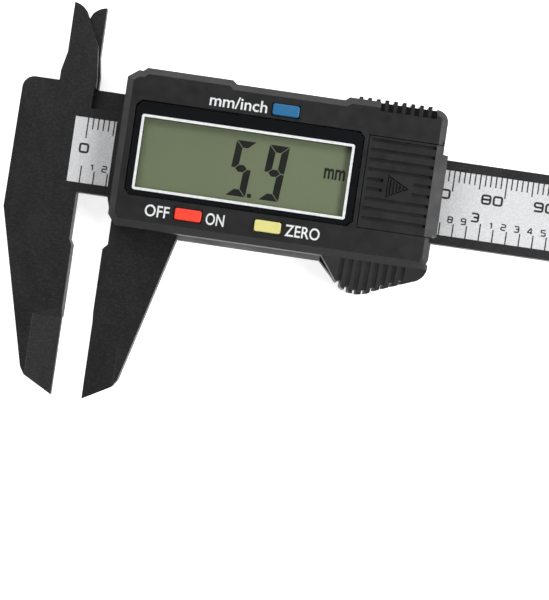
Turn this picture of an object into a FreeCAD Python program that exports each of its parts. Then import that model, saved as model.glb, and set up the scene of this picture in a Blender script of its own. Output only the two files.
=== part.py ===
"""Digital caliper, 150 mm range, built as separate moulded, pressed and printed pieces.

Frame: X runs along the beam with X = 0 at the fixed jaw's measuring face, Y = 0 is the beam's
centreline (outside jaws towards -Y, inside jaws towards +Y) and Z = 0 is the bench that the
slider's back rests on, so the display faces +Z. Pieces that travel with the slider are drawn in
the slider's own frame, where x = 0 is the moving jaw's measuring face, and are placed at X = opening.
"""
import FreeCAD, Part
import math
import os
import re
import Sketcher

V = FreeCAD.Vector

SIZES = {
    # pose in which the jaws are stored
    "opening": 5.9,
    # beam bar
    "beam_end": 220.5, "beam_width": 16.0, "beam_thick": 3.5, "beam_lift": 2.4,
    "beam_corner": 1.2,
    # scale recess, circuit strip and label on the beam's front
    "label_width": 12.4, "label_lead": 2.65, "label_tail": 4.0, "strip_thick": 0.6,
    "label_thick": 0.15, "label_sink": 0.1, "recess_gap": 0.05,
    # depth rod and its channel in the beam's back
    "channel_start": 8.0, "channel_width": 2.8, "rod_width": 2.2, "rod_thick": 1.0,
    "rod_gap": 0.3, "rod_hold": 52.0, "rod_nose": 1.0,
    # outside jaws, shared by both sides
    "jaw_reach": 46.7, "jaw_toe_y": 43.6, "jaw_toe_x": 5.4, "jaw_flank_x": 6.3,
    "jaw_flank_y": 42.2, "jaw_toe_round": 1.5, "face_start": 18.0, "face_step": 1.0,
    "fixed_relief": 0.55, "moving_relief": 0.9,
    "fixed_jaw_left": 13.45, "fixed_jaw_top": 12.5, "fixed_taper_y": 12.6,
    "fixed_shoulder_round": 2.3, "fixed_spread": 0.3, "plate_top": 11.9,
    "moving_jaw_right": 13.6, "moving_taper_y": 14.0,
    # knife edges at the tips of the outside jaws
    "knife_width": 5.4, "knife_top": 31.9, "knife_cut": 1.1, "knife_tilt": 11.0,
    "knife_wall_lean": 60.0,
    # inside jaws, each half as thick as the beam
    "inside_edge": 5.9, "inside_tip": 27.5, "inside_base": 0.8, "moving_base": 0.55,
    "inside_face_y": 18.0, "inside_root_y": 14.3,
    "inside_back": 6.2, "inside_shoulder_y": 19.7, "inside_shoulder": 5.5,
    "inside_nose": 2.5, "inside_nose_y": 26.1, "inside_gap": 0.2, "arm_top": 11.8,
    "arm_recess_end": 12.6,
    # slider frame, which carries the moving jaws
    "frame_back": 2.2, "cover_gap": 0.15, "frame_ledge": 0.8, "ledge_fall": 1.8, "slide_gap": 0.1,
    "frame_back_edge": 0.5, "frame_round": 2.2,
    # front case
    "case_left": 1.0, "case_end_wall": 1.5, "case_low": 13.4, "case_high": 15.4,
    "case_raise": 0.65, "case_front": 14.2, "case_wall": 1.8, "door_wall": 0.9, "case_roof": 1.5,
    "case_bevel": 1.3, "case_nip": 1.9, "case_corner": 2.2,
    "lip_left": -0.3, "lip_low": 7.5, "lip_high": 5.7, "lip_spread": 4.5, "lip_tall": 2.9,
    "pad_one_start": 3.7, "pad_one_end": 20.3, "pad_two_start": 41.2, "pad_ramp": 0.8,
    # thumb rest on the lower edge and grip ribs on both edges
    "bump_start": 40.9, "bump_flank_x": 43.9, "bump_flank_y": 17.2, "bump_peak_x": 47.4,
    "bump_peak_y": 19.5, "bump_fall_x": 51.6, "bump_fall_y": 18.6, "bump_end_x": 58.3,
    "bump_end_y": 15.9, "bump_slope": 0.62, "bump_top": 12.7,
    "rib_first": 44.1, "rib_pitch": 1.61, "rib_groove": 0.8, "rib_depth": 0.75, "rib_sink": 0.9,
    "notch_drop": 1.9, "notch_start": 47.8, "notch_end": 58.2, "notch_floor": 11.5,
    "tooth_rise": 0.45, "tooth_width": 0.7,
    # display
    "window_left": 3.5, "window_right": 45.6, "window_low": 7.5, "window_high": 9.9,
    "window_nip": 1.0, "window_thick": 0.8, "window_sink": 0.3, "window_gap": 0.1,
    "trim_left": 4.75, "trim_right": 44.15, "trim_low": 6.5, "trim_high": 7.45,
    "trim_width": 0.5, "trim_thick": 0.15, "trim_corner": 0.45,
    "glass_margin": 0.5, "glass_thick": 1.1, "glass_ledge": 1.6, "glass_drop": 0.1,
    "reflector_thick": 0.2, "zebra_width": 1.3, "zebra_inset": 1.5, "zebra_gap": 0.1,
    "holder_wall": 0.7, "holder_gap": 0.1, "holder_drop": 0.3, "sill": 1.0,
    # circuit board and what is on it
    "board_thick": 0.6, "board_gap": 0.05, "board_margin": 0.3,
    "board_nip": 1.4, "dome_radius": 1.4, "dome_rise": 0.3,
    "chip_x": 20.0, "chip_y": 0.5, "chip_radius": 3.6, "chip_tall": 1.3, "chip_round": 1.1,
    "crystal_x": 30.0, "crystal_y": 2.0, "crystal_radius": 1.0, "crystal_long": 6.0,
    "capacitor_x": 30.0, "capacitor_y": 2.0, "capacitor_long": 1.6, "capacitor_wide": 0.8,
    "capacitor_pitch": 3.0,
    # push buttons
    "button_long": 4.9, "button_wide": 2.1, "button_round": 0.4, "button_rise": 0.5,
    "button_gap": 0.15, "button_flange": 0.4, "flange_thick": 0.9, "flange_gap": 0.1,
    "button_travel": 0.6, "stem_radius": 0.9,
    "unit_button_x": 30.7, "unit_button_y": 11.7, "power_button_x": 15.7,
    "power_button_y": -9.8, "zero_button_x": 30.4,
    # battery, its contacts and the sliding door
    "cell_radius": 5.8, "cell_thick": 5.4, "cell_left": 47.4, "cell_y": 1.05, "cell_gap": 0.2,
    "cell_shelf": 0.85, "cell_rim": 0.4, "cell_step": 0.9, "cell_step_tall": 0.5,
    "contact_thick": 0.2, "contact_foot": 4.0, "contact_heel": 1.0, "contact_tip": 2.6,
    "contact_wide": 2.4, "clip_foot": 1.2, "clip_wide": 3.0, "clip_drop": 1.4,
    "door_left": 46.6, "door_low": 7.4, "door_high": 9.5, "door_thick": 1.5,
    "door_gap": 0.15, "door_lip": 0.75, "door_lip_low": 7.1, "door_lip_high": 8.0,
    "door_slope_run": 1.5, "door_slope_drop": 1.6, "door_skirt": 0.6, "door_neck": 0.2,
    "tongue_reach": 0.6, "tongue_thick": 0.5, "tongue_back": 2.0,
    "groove_first": 8.8, "groove_pitch": 1.8, "groove_width": 0.6, "groove_depth": 0.6,
    "groove_inset": 0.5, "groove_tail": 0.1, "arrow_x": 50.9, "arrow_long": 4.1,
    "arrow_half": 2.1, "arrow_y": 0.7, "arrow_sink": 0.5, "arrow_left": 0.8,
    "arrow_right": 0.6,
    # fasteners
    "screw_radius": 0.85, "screw_head": 1.6, "screw_head_tall": 0.9, "screw_long": 8.0,
    "screw_gap": 0.02, "head_gap": 0.2, "boss_wall": 0.95, "screw_left": 4.4,
    "screw_inset": 3.5, "screw_high": 11.9, "screw_low": -10.9, "screw_sink": 0.3,
    "slot_wide": 0.35, "slot_deep": 0.4, "rod_tail": 3.0,
    "stop_start": 212.6, "stop_long": 6.0, "stop_half": 7.4, "stop_thick": 1.0,
    "stop_corner": 0.8, "stop_screw_y": 5.0, "stop_screw_long": 2.2,
    # leaf spring between the frame and the beam's upper edge
    "gib_start": 12.0, "gib_end": 50.0, "gib_thick": 0.2, "gib_bow": 0.6, "gib_tall": 2.6,
    "gib_play": 0.3, "gib_gap": 0.2,
    # how far a cut runs on past the surface that it opens
    "overrun": 1.0,
}

# How many times each repeated feature stands in its row.
BUMP_RIBS, GRIP_TEETH, DOOR_GROOVES, CAPACITORS = 8, 9, 9, 4
ARROW_GROOVES = (4, 5)

# Sizes that follow from the driving ones, as formulas of them.
DERIVED = {
    "half_beam": "beam_width / 2",
    "beam_front": "beam_lift + beam_thick",
    "frame_top": "beam_front + cover_gap",
    "recess_floor": "beam_front - label_sink - label_thick - strip_thick",
    "label_end": "beam_end - label_tail",
    "half_split": "beam_lift + beam_thick / 2",
    "arm_front": "half_split - inside_gap / 2",
    "blade_back": "half_split + inside_gap / 2",
    "rod_back": "beam_lift + inside_gap",
    "channel_depth": "inside_gap + rod_thick + rod_gap",
    "half_slot": "half_beam + slide_gap",
    "roof": "case_front - case_roof",
    "window_top": "case_front - window_sink",
    "window_floor": "window_top - window_thick",
    "glass_front": "roof - glass_drop",
    "glass_left": "trim_left - glass_margin",
    "glass_right": "trim_right + glass_margin",
    "glass_low": "-trim_low - glass_margin / 2",
    "glass_step": "trim_high - trim_width + glass_margin / 2",
    "glass_high": "glass_step + glass_ledge",
    "board_low": "frame_top + board_gap",
    "board_front": "board_low + board_thick",
    "glass_back": "glass_front - 2 * glass_thick",
    "door_back": "case_front - door_thick",
    "cell_top": "door_back - cell_gap",
    "cell_low": "cell_top - cell_thick",
    "cell_x": "cell_left + cell_radius",
    "case_right": "cell_x + cell_radius + case_end_wall",
    "screw_right": "case_right - screw_inset",
    "door_slope_start": "case_right - door_slope_run",
    "shelf_back": "door_back - door_gap - cell_shelf",
    "button_top": "case_front + button_rise",
    "flange_front": "roof - flange_gap",
    "stem_low": "board_front + dome_rise + button_travel + flange_gap",
    "gib_room": "gib_bow + gib_thick",
    "frame_low": "case_low + frame_ledge",
    "screw_seat": "screw_sink + screw_head_tall",
    "screw_tip": "screw_seat + screw_long",
    "lip_right": "case_right + door_gap + door_lip",
}

doc = FreeCAD.newDocument("digital_caliper")
sheet = doc.addObject("Spreadsheet::Sheet", "Sizes")
for row, (name, value) in enumerate(SIZES.items(), start=1):
    sheet.set(f"A{row}", name)
    sheet.set(f"B{row}", str(value))
    sheet.setAlias(f"B{row}", name)
doc.recompute()

WORD = re.compile(r"[a-z_]+")


def formula(text):
    """Spell a formula of size names out as an expression on the sheet's cells."""
    def spell(match):
        word = match.group(0)
        if word in DERIVED:
            return "(" + formula(DERIVED[word]) + ")"
        return "Sizes." + word
    return WORD.sub(spell, str(text))


def value(text):
    """Number that a formula stands for at the present sizes."""
    return float(sheet.evalExpression(formula(text)))


def bind(thing, prop, text):
    """Give a property of a feature its value through the sheet."""
    thing.setExpression(prop, formula(text))


def new_body(label, moves=False):
    """Start a body for one piece; pieces of the slider are shifted by the opening."""
    body = doc.addObject("PartDesign::Body", label)
    body.Label = label
    if moves:
        bind(body, "Placement.Base.x", "opening")
    return body


def origin_part(body, role):
    """Origin plane or axis of a body, found by its role."""
    return next(item for item in body.Origin.OriginFeatures if item.Role == role)


def new_sketch(body, plane="XY_Plane", level="0"):
    """Sketch on one of the body's origin planes, lifted along the plane's normal."""
    sketch = body.newObject("Sketcher::SketchObject", "Sketch")
    sketch.AttachmentSupport = (origin_part(body, plane), [""])
    sketch.MapMode = "FlatFace"
    bind(sketch, "AttachmentOffset.Base.z", level)
    return sketch


def pin_point(sketch, item, end, spot):
    """Hold one end of a sketch curve at a spot given by two formulas."""
    for kind, text in zip(("DistanceX", "DistanceY"), spot):
        number = sketch.addConstraint(Sketcher.Constraint(kind, -1, 1, item, end, value(text)))
        bind(sketch, f"Constraints[{number}]", text)


def arc_between(start, via, finish):
    """Arc that runs anticlockwise from start through via to finish."""
    round_curve = Part.Arc(start, via, finish).toShape().Curve
    middle = round_curve.Center
    begin, end = (math.atan2(spot.y - middle.y, spot.x - middle.x) for spot in (start, finish))
    if end < begin:
        end += 2 * math.pi
    return Part.ArcOfCircle(Part.Circle(middle, V(0, 0, 1), round_curve.Radius), begin, end)


def outline(sketch, spots):
    """Closed outline through spots (x, y); a spot (x, y, via_x, via_y) is reached by an arc."""
    count = len(spots)
    places = [V(value(spot[0]), value(spot[1]), 0) for spot in spots]
    ends = []
    for number in range(count):
        follows = (number + 1) % count
        start, finish = places[number], places[follows]
        if len(spots[follows]) == 4:
            via = V(value(spots[follows][2]), value(spots[follows][3]), 0)
            turns_left = (via - start).cross(finish - via).z > 0
            first, last = (start, finish) if turns_left else (finish, start)
            item = sketch.addGeometry(arc_between(first, via, last))
            ends.append((item, 1, 2) if turns_left else (item, 2, 1))
        else:
            ends.append((sketch.addGeometry(Part.LineSegment(start, finish)), 1, 2))
    for number in range(count):
        item, first, last = ends[number]
        follows = ends[(number + 1) % count]
        sketch.addConstraint(Sketcher.Constraint("Coincident", item, last, follows[0], follows[1]))
        pin_point(sketch, item, first, spots[number][:2])


def rectangle(sketch, left, low, right, high):
    """Rectangle given by its four sides."""
    outline(sketch, [(left, low), (right, low), (right, high), (left, high)])


def circle(sketch, across, up, radius):
    """Full circle about a spot."""
    item = sketch.addGeometry(Part.Circle(V(value(across), value(up), 0), V(0, 0, 1), value(radius)))
    number = sketch.addConstraint(Sketcher.Constraint("Radius", item, value(radius)))
    bind(sketch, f"Constraints[{number}]", radius)
    pin_point(sketch, item, 3, (across, up))


def pad(body, sketch, length):
    """Add the sketch's outline, raised along its normal."""
    feature = body.newObject("PartDesign::Pad", "Pad")
    feature.Profile = sketch
    bind(feature, "Length", length)
    return feature


def pocket(body, sketch, length, up=True, middle=False):
    """Cut the sketch's outline away, along its normal when up."""
    feature = body.newObject("PartDesign::Pocket", "Pocket")
    feature.Profile = sketch
    feature.Reversed = up
    if middle:
        feature.SideType = "Symmetric"
    bind(feature, "Length", length)
    return feature


def upright_edges(shape, spots):
    """Names of the edges parallel to Z that stand at the given spots."""
    names = []
    places = [(value(across), value(up)) for across, up in spots]
    for number, edge in enumerate(shape.Edges, start=1):
        box = edge.BoundBox
        if box.ZLength < 1e-3 or box.XLength > 1e-3 or box.YLength > 1e-3:
            continue
        if any(abs(box.XMin - x) < 0.02 and abs(box.YMin - y) < 0.02 for x, y in places):
            names.append(f"Edge{number}")
    return names


def face_edges(shape, height):
    """Names of the edges that lie in the plane Z = height."""
    level = value(height)
    names = []
    for number, edge in enumerate(shape.Edges, start=1):
        box = edge.BoundBox
        if abs(box.ZMin - level) < 1e-4 and abs(box.ZMax - level) < 1e-4:
            names.append(f"Edge{number}")
    return names


def dress(body, kind, size, spots=None, level=None):
    """Round or bevel the upright edges at some spots, or the edges that lie at a level."""
    doc.recompute()
    base = body.Tip
    names = upright_edges(base.Shape, spots) if spots else face_edges(base.Shape, level)
    if not names:
        raise RuntimeError(f"{body.Label}: no edges for {kind}")
    feature = body.newObject("PartDesign::" + kind, kind)
    feature.Base = (base, names)
    bind(feature, "Radius" if kind == "Fillet" else "Size", size)
    return feature


def spacing(body, axis, step, count):
    """Linear pattern along one of the body's axes, with a step between its members."""
    repeat = body.newObject("PartDesign::LinearPattern", "LinearPattern")
    repeat.Direction = (origin_part(body, axis), [""])
    repeat.Mode = "Spacing"
    bind(repeat, "Offset", step)
    repeat.Occurrences = count
    return repeat


def pattern(body, feature, axis, step, count):
    """Repeat a feature along one of the body's axes."""
    repeat = spacing(body, axis, step, count)
    repeat.Originals = [feature]
    body.Tip = repeat
    doc.recompute()
    return repeat


def plate(label, sides, level, thick, moves=True, corners=None):
    """Flat rectangular piece: sides left, low, right, high, at a level, with a thickness."""
    body = new_body(label, moves)
    sketch = new_sketch(body, "XY_Plane", level)
    rectangle(sketch, *sides)
    pad(body, sketch, thick)
    doc.recompute()
    if corners:
        left, low, right, high = sides
        spots = [(left, low), (right, low), (right, high), (left, high)]
        dress(body, "Fillet", corners, spots=spots)
    return body


# ---------------------------------------------------------------- jaws

def outside_jaw(side, relief, back, taper_y, top, inner, spread="0"):
    """Outline of an outside jaw; side is -1 for the fixed jaw and 1 for the moving one."""
    sign = "-" if side < 0 else ""
    return [
        ("0", "-jaw_reach"),
        ("0", "-face_start"),
        (f"{sign}{relief}", "-(face_start - face_step)"),
        (f"{sign}{relief}", inner),
        (f"{sign}{back}", top),
        (f"{sign}({back} + {spread})", f"-{taper_y}"),
        (f"{sign}jaw_flank_x", "-jaw_flank_y"),
        (f"{sign}jaw_toe_x", "-jaw_toe_y"),
    ]


def knife(body, side):
    """Thin an outside jaw to a knife edge: a slope on the front and a step on the back."""
    sign = "-" if side < 0 else ""
    edge = (f"{sign}(-1)", "-(jaw_reach + 1)", f"{sign}knife_width", "-knife_top")
    front = new_sketch(body, "XY_Plane", "beam_front - knife_cut")
    front.AttachmentOffset = FreeCAD.Placement(
        front.AttachmentOffset.Base, FreeCAD.Rotation(V(0, 1, 0), -side * value("knife_tilt")))
    rectangle(front, *edge)
    cut = pocket(body, front, "2 * knife_cut")
    cut.TaperAngle = value("knife_wall_lean")
    back = new_sketch(body, "XY_Plane", "beam_lift + knife_cut")
    rectangle(back, *edge)
    pocket(body, back, "knife_cut + overrun", up=False)


def inside_jaw(side):
    """Outline of an inside jaw above its root; side -1 measures towards -X, side 1 towards +X."""
    base = "moving_base" if side > 0 else "inside_base"

    def across(offset):
        return f"-inside_edge - ({offset})" if side > 0 else f"-inside_edge + ({offset})"
    return [
        (across(f"-{base}"), "plate_top"),
        (across(f"-{base}"), "inside_root_y"),
        (across("0"), "inside_face_y"),
        (across("0"), "inside_tip"),
        (across("inside_nose"), "inside_nose_y", across("inside_nose * 0.65"), "inside_tip - 0.6"),
        (across("inside_shoulder"), "inside_shoulder_y"),
        (across("inside_back"), "fixed_jaw_top + overrun"),
        (across("inside_back"), "plate_top"),
    ]


def make_beam():
    """Beam bar with the fixed jaws, the scale recess and the depth rod's channel."""
    body = new_body("beam")
    sketch = new_sketch(body, "XY_Plane", "beam_lift")
    jaw = outside_jaw(-1, "fixed_relief", "fixed_jaw_left", "fixed_taper_y", "fixed_jaw_top",
                      "-half_beam", "fixed_spread")
    bar = [
        ("beam_end", "-half_beam"),
        ("beam_end", "half_beam"),
        ("0", "half_beam"),
        ("0", "plate_top"),
        ("-inside_edge - inside_base", "plate_top"),
        ("-inside_edge - inside_base", "fixed_jaw_top"),
    ]
    outline(sketch, jaw[:4] + bar + jaw[4:])
    pad(body, sketch, "beam_thick")
    dress(body, "Fillet", "fixed_shoulder_round", spots=[
        ("-fixed_jaw_left", "fixed_jaw_top")])
    dress(body, "Fillet", "jaw_toe_round", spots=[
        ("-jaw_flank_x", "-jaw_flank_y")])
    dress(body, "Fillet", "beam_corner", spots=[
        ("beam_end", "-half_beam"), ("beam_end", "half_beam")])
    sketch = new_sketch(body, "XY_Plane", "blade_back")
    outline(sketch, inside_jaw(-1))
    pad(body, sketch, "beam_front - blade_back")
    sketch = new_sketch(body, "XY_Plane", "blade_back")
    rectangle(sketch, "-arm_recess_end", "half_beam", "1", "fixed_jaw_top + overrun")
    pocket(body, sketch, "blade_back - beam_lift + overrun", up=False)
    knife(body, -1)
    sketch = new_sketch(body, "XY_Plane", "recess_floor")
    rectangle(sketch, "-label_lead - recess_gap", "-label_width / 2 - recess_gap",
              "label_end + recess_gap", "label_width / 2 + recess_gap")
    pocket(body, sketch, "beam_front - recess_floor + overrun")
    sketch = new_sketch(body, "XY_Plane", "beam_lift + channel_depth")
    rectangle(sketch, "channel_start", "-channel_width / 2", "beam_end + overrun", "channel_width / 2")
    pocket(body, sketch, "channel_depth + overrun", up=False)
    sketch = new_sketch(body, "XY_Plane", "beam_lift")
    circle(sketch, "stop_start + stop_long / 2", "-stop_screw_y", "screw_radius + screw_gap")
    circle(sketch, "stop_start + stop_long / 2", "stop_screw_y", "screw_radius + screw_gap")
    pocket(body, sketch, "stop_screw_long - stop_thick + screw_head_tall + screw_gap")
    return body


# ---------------------------------------------------------------- outline shared by case and frame

def bump_wall(across):
    """Height of the thumb rest's outer wall at a place along the slider, as a number."""
    left, peak_x, fall, right = (value(name) for name in
                                 ("bump_flank_x", "bump_peak_x", "bump_fall_x", "bump_end_x"))
    low, peak, drop, last = (value(name) for name in
                             ("bump_flank_y", "bump_peak_y", "bump_fall_y", "bump_end_y"))
    if across <= fall:
        arc = Part.Arc(V(left, low, 0), V(peak_x, peak, 0), V(fall, drop, 0)).toShape().Curve
        middle, radius = arc.Center, arc.Radius
        return middle.y + math.sqrt(max(radius ** 2 - (across - middle.x) ** 2, 0.0))
    return drop + (last - drop) * (across - fall) / (right - fall)


def bump_outline(low):
    """Thumb rest as a closed outline that starts inside the lower wall."""
    return [
        ("bump_start", f"-{low}"),
        ("bump_flank_x", "-bump_flank_y"),
        ("bump_fall_x", "-bump_fall_y", "bump_peak_x", "-bump_peak_y"),
        ("bump_end_x", "-bump_end_y"),
        ("case_right", f"-({low} - 0.9)", "case_right - 0.6", "-(bump_end_y - 1)"),
        ("case_right - 3", f"-({low} - 3)"),
        ("bump_start + 3", f"-({low} - 3)"),
    ]


def rib_grooves(body, count, low_level, slope):
    """Cut the grooves between the thumb rest's ribs, down its slope and its outer wall."""
    for number in range(count):
        place = f"rib_first + rib_pitch * {number + 0.5}"
        wall = bump_wall(value(place))
        inner = f"-{wall:.4f} + rib_depth"
        sketch = new_sketch(body, "YZ_Plane", place)
        if slope:
            fall = f"bump_slope * ({wall:.4f} - rib_depth - case_low)"
            spots = [
                ("-case_low", "bump_top + 2 * overrun"),
                ("-case_low", "bump_top - rib_sink"),
                (inner, f"bump_top - rib_sink - {fall}"),
                (inner, low_level),
                (f"-{wall:.4f} - 2 * overrun", low_level),
                (f"-{wall:.4f} - 2 * overrun", "bump_top + 2 * overrun"),
            ]
        else:
            spots = [
                (inner, "frame_top + overrun"),
                (inner, low_level),
                (f"-{wall:.4f} - 2 * overrun", low_level),
                (f"-{wall:.4f} - 2 * overrun", "frame_top + overrun"),
            ]
        outline(sketch, spots)
        pocket(body, sketch, "rib_groove", middle=True)


# ---------------------------------------------------------------- slider frame

def screw_spots():
    """Centres of the four case screws."""
    return [(across, up) for across in ("screw_left", "screw_right")
            for up in ("screw_low", "screw_high")]


def make_slider_frame():
    """Tray that runs round the beam's back and carries the moving jaws."""
    body = new_body("slider_frame", moves=True)
    sketch = new_sketch(body)
    rectangle(sketch, "case_left", "-frame_low", "case_right", "case_high")
    pad(body, sketch, "frame_top")
    corners = [(across, up) for across in ("case_left", "case_right")
               for up in ("-frame_low", "case_high")]
    dress(body, "Fillet", "frame_round", spots=corners)
    dress(body, "Chamfer", "frame_back_edge", level="0")
    sketch = new_sketch(body)
    outline(sketch, bump_outline("frame_low"))
    pad(body, sketch, "frame_top")
    rib_grooves(body, BUMP_RIBS, "-overrun", slope=False)
    sketch = new_sketch(body, "XY_Plane", "beam_lift")
    outline(sketch, outside_jaw(1, "moving_relief", "moving_jaw_right", "moving_taper_y",
                                "-half_beam - overrun", "-half_beam - overrun"))
    pad(body, sketch, "beam_thick")
    dress(body, "Fillet", "jaw_toe_round", spots=[
        ("jaw_flank_x", "-jaw_flank_y")])
    knife(body, 1)
    # the ledge below the case slopes down to the outside between the jaw and the thumb rest
    sketch = new_sketch(body, "YZ_Plane", "moving_jaw_right")
    outline(sketch, [
        ("-case_low", "frame_top"), ("-frame_low", "frame_top - ledge_fall"),
        ("-frame_low - overrun", "frame_top - ledge_fall"),
        ("-frame_low - overrun", "frame_top + overrun"),
        ("-case_low", "frame_top + overrun"),
    ])
    pocket(body, sketch, "bump_start - moving_jaw_right")
    sketch = new_sketch(body, "XY_Plane", "beam_lift")
    jaw = inside_jaw(1)
    arm = [
        ("-inside_edge - inside_back", "half_slot"),
        ("case_left + case_wall", "half_slot"),
        ("case_left + case_wall", "arm_top"),
        ("-inside_edge + moving_base", "arm_top"),
    ]
    outline(sketch, jaw[1:-1] + arm)
    pad(body, sketch, "arm_front - beam_lift")
    sketch = new_sketch(body, "XY_Plane", "frame_back")
    rectangle(sketch, "case_left - overrun", "-half_slot", "case_right + overrun", "half_slot")
    pocket(body, sketch, "frame_top")
    sketch = new_sketch(body, "XY_Plane", "frame_top - gib_tall")
    rectangle(sketch, "gib_start", "half_beam", "gib_end", "half_slot + gib_room")
    pocket(body, sketch, "gib_tall + overrun")
    for across, up in screw_spots():
        sketch = new_sketch(body)
        circle(sketch, across, up, "screw_head + head_gap")
        pocket(body, sketch, "screw_seat")
        sketch = new_sketch(body)
        circle(sketch, across, up, "screw_radius + head_gap")
        pocket(body, sketch, "frame_top + overrun")
    sketch = new_sketch(body, "XY_Plane", "frame_back")
    rectangle(sketch, "rod_hold - rod_tail", "-rod_width / 2", "rod_hold + rod_tail", "rod_width / 2")
    pad(body, sketch, "rod_back - frame_back")
    sketch = new_sketch(body)
    circle(sketch, "rod_hold", "0", "screw_head + head_gap")
    pocket(body, sketch, "screw_seat")
    sketch = new_sketch(body)
    circle(sketch, "rod_hold", "0", "screw_radius + head_gap")
    pocket(body, sketch, "rod_back + overrun")
    return body


# ---------------------------------------------------------------- front case

def case_edge():
    """Outer outline of the front case, with the raised pads along its upper edge."""
    return [
        ("case_left", "-case_low + case_nip"),
        ("case_left + case_nip * 0.75", "-case_low"),
        ("case_right", "-case_low"),
        ("case_right", "case_high + case_raise"),
        ("pad_two_start + pad_ramp", "case_high + case_raise"),
        ("pad_two_start", "case_high"),
        ("pad_one_end + pad_ramp", "case_high"),
        ("pad_one_end", "case_high + case_raise"),
        ("pad_one_start + pad_ramp", "case_high + case_raise"),
        ("pad_one_start", "case_high"),
        ("case_left + case_nip", "case_high"),
        ("case_left", "case_high - case_nip * 0.75"),
    ]


def window_edge(grow):
    """Window outline with nipped corners, grown or shrunk all round."""
    left, right = f"window_left - ({grow})", f"window_right + ({grow})"
    low, high = f"-window_low - ({grow})", f"window_high + ({grow})"
    return [
        (left, f"{low} + window_nip"), (f"{left} + window_nip", low),
        (f"{right} - window_nip", low), (right, f"{low} + window_nip"),
        (right, f"{high} - window_nip"), (f"{right} - window_nip", high),
        (f"{left} + window_nip", high), (left, f"{high} - window_nip"),
    ]


def make_front_case():
    """Moulded front cover: shell, window seat, key holes, battery well, door track and grips."""
    body = new_body("front_case", moves=True)
    sketch = new_sketch(body, "XY_Plane", "frame_top")
    outline(sketch, case_edge())
    pad(body, sketch, "case_front - frame_top")
    dress(body, "Fillet", "case_corner", spots=[
        ("case_right", "-case_low"), ("case_right", "case_high + case_raise")])
    dress(body, "Chamfer", "case_bevel", level="case_front")
    sketch = new_sketch(body, "XY_Plane", "frame_top")
    outline(sketch, bump_outline("case_low"))
    pad(body, sketch, "bump_top - frame_top")
    sketch = new_sketch(body, "YZ_Plane", "bump_start - 2 * overrun")
    reach = "bump_peak_y + 3 * overrun"
    outline(sketch, [
        ("-case_low", "bump_top"),
        (f"-({reach})", f"bump_top - bump_slope * ({reach} - case_low)"),
        (f"-({reach})", "bump_top + overrun"),
        ("-case_low", "bump_top + overrun"),
    ])
    pocket(body, sketch, "case_right - bump_start + 4 * overrun")
    rib_grooves(body, BUMP_RIBS, "frame_top - overrun", slope=True)
    # upper grip: a notch in the front edge with teeth standing in it
    sketch = new_sketch(body, "XY_Plane", "notch_floor")
    rectangle(sketch, "notch_start", "case_high + case_raise - notch_drop", "notch_end",
              "case_high + case_raise + overrun")
    pocket(body, sketch, "case_front")
    sketch = new_sketch(body, "XY_Plane", "frame_top")
    rectangle(sketch, "rib_first - tooth_width / 2", "case_high - notch_drop",
              "rib_first + tooth_width / 2", "case_high + case_raise + tooth_rise")
    tooth = pad(body, sketch, "bump_top - frame_top")
    pattern(body, tooth, "X_Axis", "rib_pitch", GRIP_TEETH)
    # lip that hugs the beam at the end nearest the jaws
    sketch = new_sketch(body, "XY_Plane", "frame_top")
    outline(sketch, [
        ("case_left + overrun", "-lip_low - lip_spread"),
        ("case_left + overrun", "lip_high + lip_spread"),
        ("case_left", "lip_high + lip_spread"), ("lip_left", "lip_high"),
        ("lip_left", "-lip_low"), ("case_left", "-lip_low - lip_spread"),
    ])
    pad(body, sketch, "lip_tall")
    # cavity, screw bosses and battery well
    sketch = new_sketch(body, "XY_Plane", "frame_top")
    rectangle(sketch, "case_left + case_wall", "-case_low + case_wall",
              "door_left - door_wall", "case_high - case_wall")
    pocket(body, sketch, "roof - frame_top")
    sketch = new_sketch(body, "XY_Plane", "frame_top")
    rectangle(sketch, "door_left - door_wall", "-case_low + case_wall",
              "case_right - case_wall", "case_high + case_raise - notch_drop - case_wall")
    pocket(body, sketch, "shelf_back - frame_top")
    sketch = new_sketch(body, "XY_Plane", "frame_top")
    for across, up in screw_spots():
        circle(sketch, across, up, "screw_radius + boss_wall")
    pad(body, sketch, "roof - frame_top")
    sketch = new_sketch(body, "XY_Plane", "frame_top")
    for across, up in screw_spots():
        circle(sketch, across, up, "screw_radius + screw_gap")
    pocket(body, sketch, "screw_tip + head_gap - frame_top")
    sketch = new_sketch(body, "XY_Plane", "frame_top")
    circle(sketch, "cell_x", "cell_y", "cell_radius + cell_gap")
    pocket(body, sketch, "case_front")
    # door track, open towards the right-hand end
    sketch = new_sketch(body, "XY_Plane", "door_back - door_gap")
    rectangle(sketch, "door_left - door_gap", "-door_low - door_gap", "case_right + overrun",
              "door_high + door_gap")
    pocket(body, sketch, "case_front")
    sketch = new_sketch(body, "XY_Plane", "door_back - door_gap")
    rectangle(sketch, "door_left - door_gap", "-door_low - tongue_reach - 2 * door_gap",
              "case_right + overrun", "door_high + tongue_reach + 2 * door_gap")
    pocket(body, sketch, "tongue_thick + 2 * door_gap")
    # window seat and the opening over the display
    sketch = new_sketch(body, "XY_Plane", "window_floor")
    outline(sketch, window_edge("window_gap"))
    pocket(body, sketch, "case_front")
    sketch = new_sketch(body, "XY_Plane", "roof - sill")
    rectangle(sketch, "trim_left + trim_width", "-trim_low + trim_width",
              "trim_right - trim_width", "trim_high - trim_width")
    pocket(body, sketch, "case_front")
    # key holes
    for across, up in KEYS.values():
        sketch = new_sketch(body, "XY_Plane", "roof - sill")
        rectangle(sketch, *key_sides(across, up, "button_gap"))
        pocket(body, sketch, "case_front")
    return body


# ---------------------------------------------------------------- keys

KEYS = {
    "mm_inch_button": ("unit_button_x", "unit_button_y"),
    "on_off_button": ("power_button_x", "power_button_y"),
    "zero_button": ("zero_button_x", "power_button_y"),
}


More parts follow.
